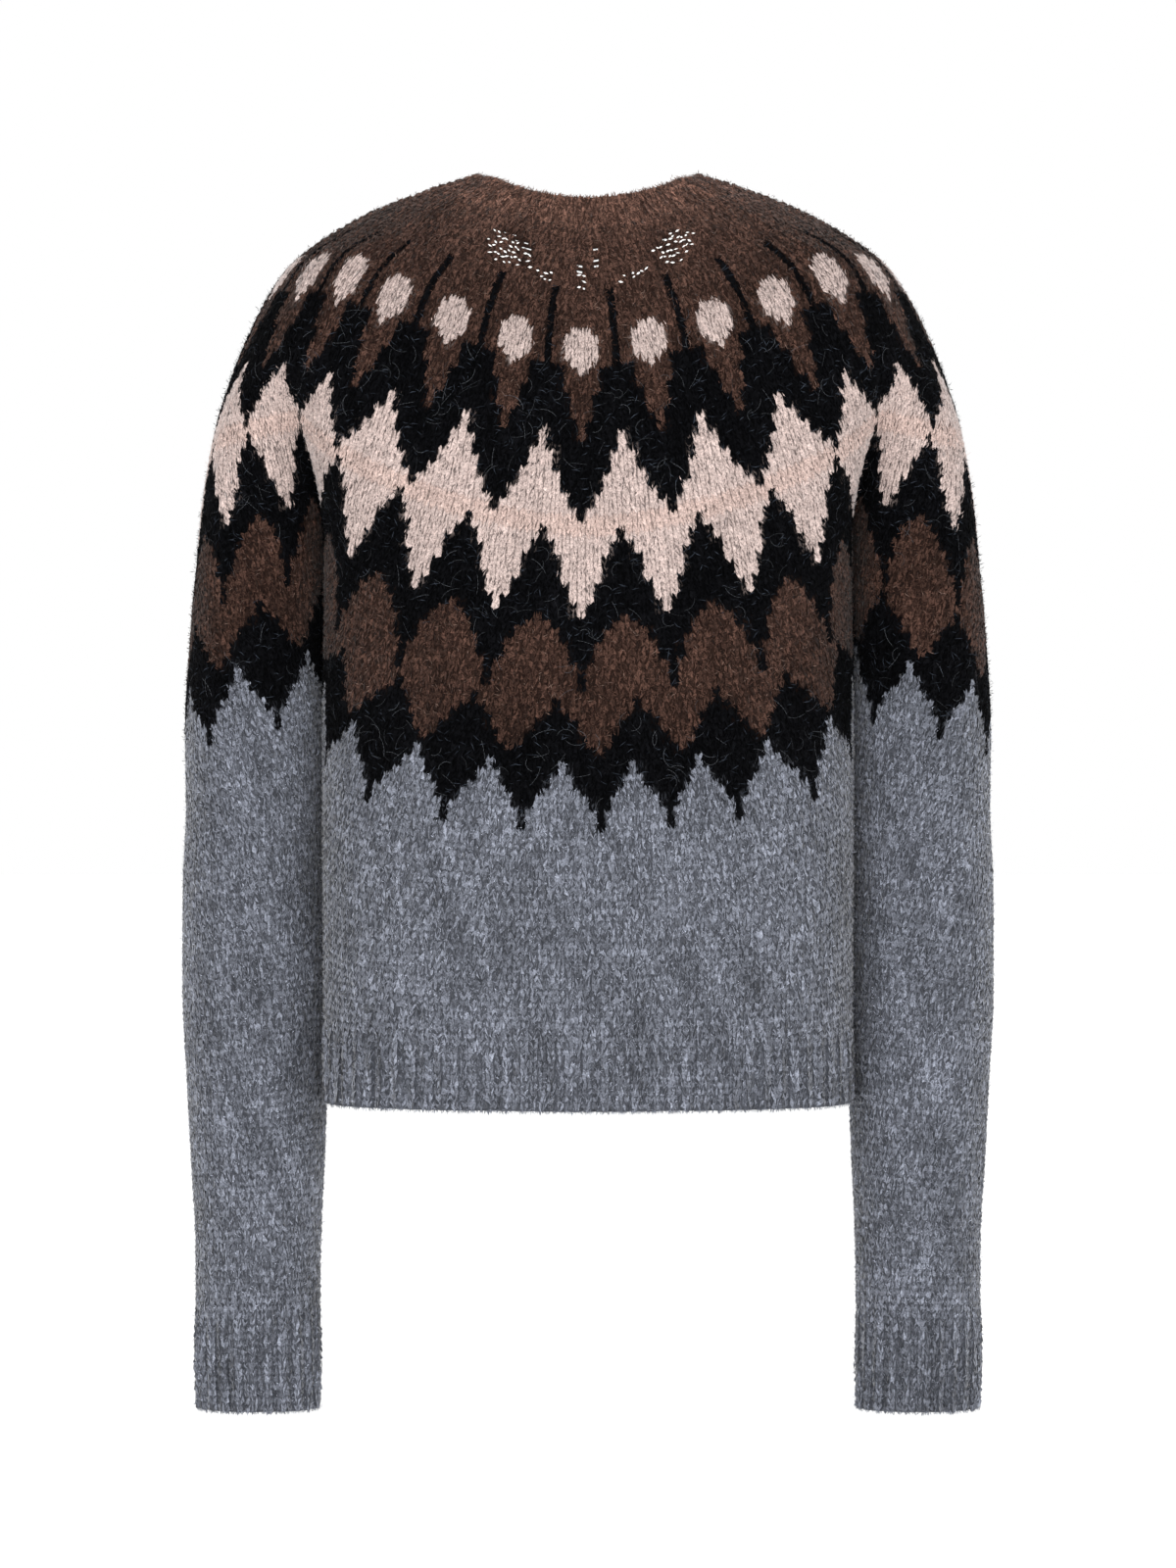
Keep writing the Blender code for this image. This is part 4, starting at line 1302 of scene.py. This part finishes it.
# Each panel, its slot, how its stitches are charted, and the columns and rows of its wall
PANELS = (
    (neckband, "brown_knit", "body", 240, 6),
    (yoke, "brown_knit", "body", 220, 42),
    (back, "grey_knit", "body", 70, 36),
    (front_left, "grey_knit", "body", 40, 36),
    (front_right, "grey_knit", "body", 40, 36),
    (hem_back, "grey_knit", "body", 260, 8),
    (front_hem_left, "grey_knit", "body", 130, 8),
    (front_hem_right, "grey_knit", "body", 130, 8),
    (sleeve_left, "grey_knit", "left", 48, 60),
    (sleeve_right, "grey_knit", "right", 48, 60),
    (cuff_left, "grey_knit", "left", 120, 10),
    (cuff_right, "grey_knit", "right", 120, 10),
    (under_band, "grey_knit", "band", 20, 90),
    (over_band, "grey_knit", "band", 20, 90),
)

# Between which courses long hairs curl over the black wool
CURLED = {yoke: (0.085, DIVISION), back: (DIVISION, 0.40), sleeve_left: (DIVISION, 0.39),
          sleeve_right: (DIVISION, 0.39)}

# The free edges, and whether their hairs point up or down
FREE_EDGES = ((NECK_EDGE, 1), (HEM, -1), (CUFF_END, -1))

for panel, slot, part, across, down in PANELS:
    chart = Chart(panel, part)
    courses = np.linspace(panel.first, panel.last, down + 1)
    if panel.first == DIVISION:
        courses = np.concatenate([[DIVISION - TUCK_RISE], courses])
    holes, flecks = set(), []
    if panel is yoke:
        holes, flecks = open_stitches(chart)
        edges = [(row + 0.5 + way * OPEN_HALF_HEIGHT) * ROW for row in OPEN_ROWS for way in (-1, 1)]
        courses = np.concatenate([[panel.first], edges, np.linspace(edges[-1], panel.last, down)[1:]])
    ground = add_wall(panel, chart, slot, across, courses, holes)
    stitches = add_stitches(panel, chart, slot, holes)
    free_edges = [edge for edge in FREE_EDGES if edge[0] in (panel.first, panel.last) and part != "band"]
    fuzz = add_fuzz(panel, chart, slot, holes, flecks, free_edges, CURLED.get(panel))
    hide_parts(panel.name)
    cut = courses[courses >= panel.first]
    spans = np.array([np.diff(panel.ends(course))[0] for course in cut])

# ---------------------------------------------------------------- buttons

BUTTON_COUNT = 7
BUTTON_SIDES = 48
HOLE_SIDES = 14
HOLE_RADIUS = 0.0010
HOLE_SPREAD = 0.0016
HOLE_CLEAR = 1.15
HOLE_INSIDE = 0.98
MERGE = 1e-7

# The button's face and back, from the centre to the edge: how far out and how high
BUTTON_FACE = np.array([
    (0.0, 0.0009), (0.0040, 0.0009), (0.0050, 0.00105), (0.0059, 0.00145), (0.0067, 0.00175),
    (0.0075, 0.0018), (0.0081, 0.00165), (0.0086, 0.0012), (0.0089, 0.0006),
])
BUTTON_BACK = np.array([(0.0, -0.0018), (0.0070, -0.0018), (0.0082, -0.0015), (0.0089, -0.0006)])
BUTTON_RINGS = [0.0030, 0.0063, 0.0086]

# A thread's arch over the button: the height of its ends and its rise, how far the ends then dip
# into the holes, and how much longer it is than the holes are apart
THREAD_RADIUS = 0.00042
THREAD_HEIGHT = 0.0009
THREAD_RISE = 0.0007
THREAD_DIP = 0.0020
THREAD_LENGTH = 1.12
THREAD_SIDES = 6
THREAD_STEPS = 8
THREAD_SHADE = 0.8


def circle(radius, sides):
    angle = np.linspace(0, 2 * pi, sides, endpoint=False)
    return np.column_stack([np.cos(angle), np.sin(angle)]) * radius


def button_mesh(material):
    """A round button with a raised rim, a dished middle and four holes."""
    centres = HOLE_SPREAD * np.array([(1, 1), (-1, 1), (-1, -1), (1, -1)])

    def from_holes(points):
        """How far each point is from the nearest hole's centre, in radii of a hole."""
        return np.min([np.linalg.norm(points - centre, axis=1) for centre in centres], axis=0) / HOLE_RADIUS

    rims = [centre + circle(HOLE_RADIUS, HOLE_SIDES) for centre in centres]
    radii = np.unique(np.concatenate([BUTTON_FACE[1:, 0], BUTTON_BACK[1:, 0], BUTTON_RINGS]))
    outline, *rings = (circle(radius, BUTTON_SIDES) for radius in radii[::-1])
    inner = np.concatenate([[(0, 0)], *rings])
    flat = np.concatenate([outline, *rims, inner[from_holes(inner) > HOLE_CLEAR]])
    loops = [np.arange(BUTTON_SIDES)]
    loops += [BUTTON_SIDES + k * HOLE_SIDES + np.arange(HOLE_SIDES) for k in range(len(rims))]
    edges = [(int(a), int(b)) for loop in loops for a, b in zip(loop, np.roll(loop, -1))]
    _, _, faces, *_ = delaunay_2d_cdt([Vector(point) for point in flat], edges, [], 1, MERGE)
    gaps = from_holes(np.array([flat[list(face)].mean(0) for face in faces]))
    faces = [tuple(face) for face, gap in zip(faces, gaps) if gap > HOLE_INSIDE]
    reach = np.linalg.norm(flat, axis=1)
    count = len(flat)
    face = np.column_stack([flat, np.interp(reach, *BUTTON_FACE.T)])
    back = np.column_stack([flat, np.interp(reach, *BUTTON_BACK.T)])
    solid = faces + [tuple(count + corner for corner in part[::-1]) for part in faces]
    for number, loop in enumerate(loops):
        way = 1 if number == 0 else -1
        for a, b in zip(loop, np.roll(loop, -1)):
            wall = (int(a), int(a) + count, int(b) + count, int(b))
            solid.append(wall[::way])
    mesh = bpy.data.meshes.new("button")
    mesh.from_pydata(np.concatenate([face, back]).tolist(), [], solid)
    mesh.validate()
    for polygon in mesh.polygons:
        polygon.use_smooth = len(polygon.vertices) == 3
    mesh.materials.append(material)
    return mesh


def thread_mesh():
    """Two doubled stitches of yarn over the middle of a button, through its holes."""
    points, triangles, flat = [], [], []
    for across in (-HOLE_SPREAD, HOLE_SPREAD):
        for beside in (-THREAD_RADIUS, THREAD_RADIUS):
            first = len(points)
            for i, part in enumerate(np.linspace(-1, 1, THREAD_STEPS)):
                arch = THREAD_HEIGHT + THREAD_RISE * (1 - abs(part) ** 3) - THREAD_DIP * abs(part) ** 6
                for j, (a, b) in enumerate(circle(THREAD_RADIUS, THREAD_SIDES)):
                    points.append((across + beside + a, part * THREAD_LENGTH * HOLE_SPREAD, arch + b))
                    flat.append((i / THREAD_STEPS, j / THREAD_SIDES))
            for i in range(THREAD_STEPS - 1):
                for j in range(THREAD_SIDES):
                    ring = first + i * THREAD_SIDES
                    a, b = ring + j, ring + (j + 1) % THREAD_SIDES
                    triangles += [(a, b, b + THREAD_SIDES), (a, b + THREAD_SIDES, a + THREAD_SIDES)]
    colours = np.tile(YARN["colour"][GREY] * THREAD_SHADE, (len(points), 1))
    return np.array(points), np.array(triangles), colours, np.array(flat)


shape = button_mesh(horn())
points, triangles, colours, flat = thread_mesh()
thread_wool = wool("thread_wool", 0.20, 0.10, 0.35, grain=1600.0)
button_courses = np.linspace(0.5 * NECKBAND_END, 0.5 * (HEM_RIB_TOP + HEM), BUTTON_COUNT)
for number, course in enumerate(button_courses, 1):
    low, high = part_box(f"button_{number}")
    out = over_band.at(course, np.array([np.mean(over_band.ends(course))]))[2][0]
    button = add_object(f"round_button_{number}", shape)
    button.location = 0.5 * (low + high)
    button.rotation_euler = Vector(out).to_track_quat("Z", "Y").to_euler()
    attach(button, "root")
    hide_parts(f"button_{number}")
    turned = np.array(button.matrix_world.to_3x3())
    placed = points @ turned.T + np.array(button.matrix_world.translation)
    wools = np.zeros(len(triangles), int)
    new_piece(f"button_thread_{number}", placed, triangles, colours, flat, wools, [thread_wool], "grey_knit")

# ---------------------------------------------------------------- floor, light and camera

FLOOR_Z = -1.4
FLOOR_HALF = 60
VIEW_DISTANCE = 3.4
VIEW_HEIGHT = 0.96
VIEW_Z = -0.354
LIT = (0, 0, -0.35)

# The lamps, all aimed at the middle of the garment: their places, sizes and watts
LAMPS = {
    "key": ((1.1, 3.0, 1.0), 1.2, 22),
    "fill": ((-1.5, 2.8, 0.4), 1.6, 18),
    "front": ((0.1, 3.3, -0.2), 1.0, 13),
}

floor_corners = [(x * FLOOR_HALF, y * FLOOR_HALF, FLOOR_Z) for x, y in ((-1, -1), (1, -1), (1, 1), (-1, 1))]
floor_mesh = bpy.data.meshes.new("floor")
floor_mesh.from_pydata(floor_corners, [], [(0, 1, 2, 3)])
floor_mesh.materials.append(new_material("pale_floor", {
    "Base Color": (0.85, 0.85, 0.85, 1), "Roughness": 0.9,
    "Emission Color": (1, 1, 1, 1), "Emission Strength": 0.25,
})[0])
floor = add_object("floor", floor_mesh)

world = bpy.data.worlds.new("studio")
world.use_nodes = True
set_inputs(world.node_tree.nodes["Background"], {"Color": (1, 1, 1, 1), "Strength": 1.0})
bpy.context.scene.world = world
bpy.context.scene.view_settings.view_transform = "Standard"

for name, (place, size, watts) in LAMPS.items():
    light = bpy.data.lights.new(name, "AREA")
    light.shape = "SQUARE"
    light.size = size
    light.energy = watts
    lamp = add_object(name, light)
    lamp.location = place
    lamp.rotation_euler = (Vector(LIT) - Vector(place)).to_track_quat("-Z", "Y").to_euler()

camera_data = bpy.data.cameras.new("camera")
camera_data.lens = camera_data.sensor_width * VIEW_DISTANCE / VIEW_HEIGHT
camera = add_object("camera", camera_data)
camera.location = (0, VIEW_DISTANCE, VIEW_Z)
camera.rotation_euler = (0.5 * pi, 0, pi)
bpy.context.scene.camera = camera
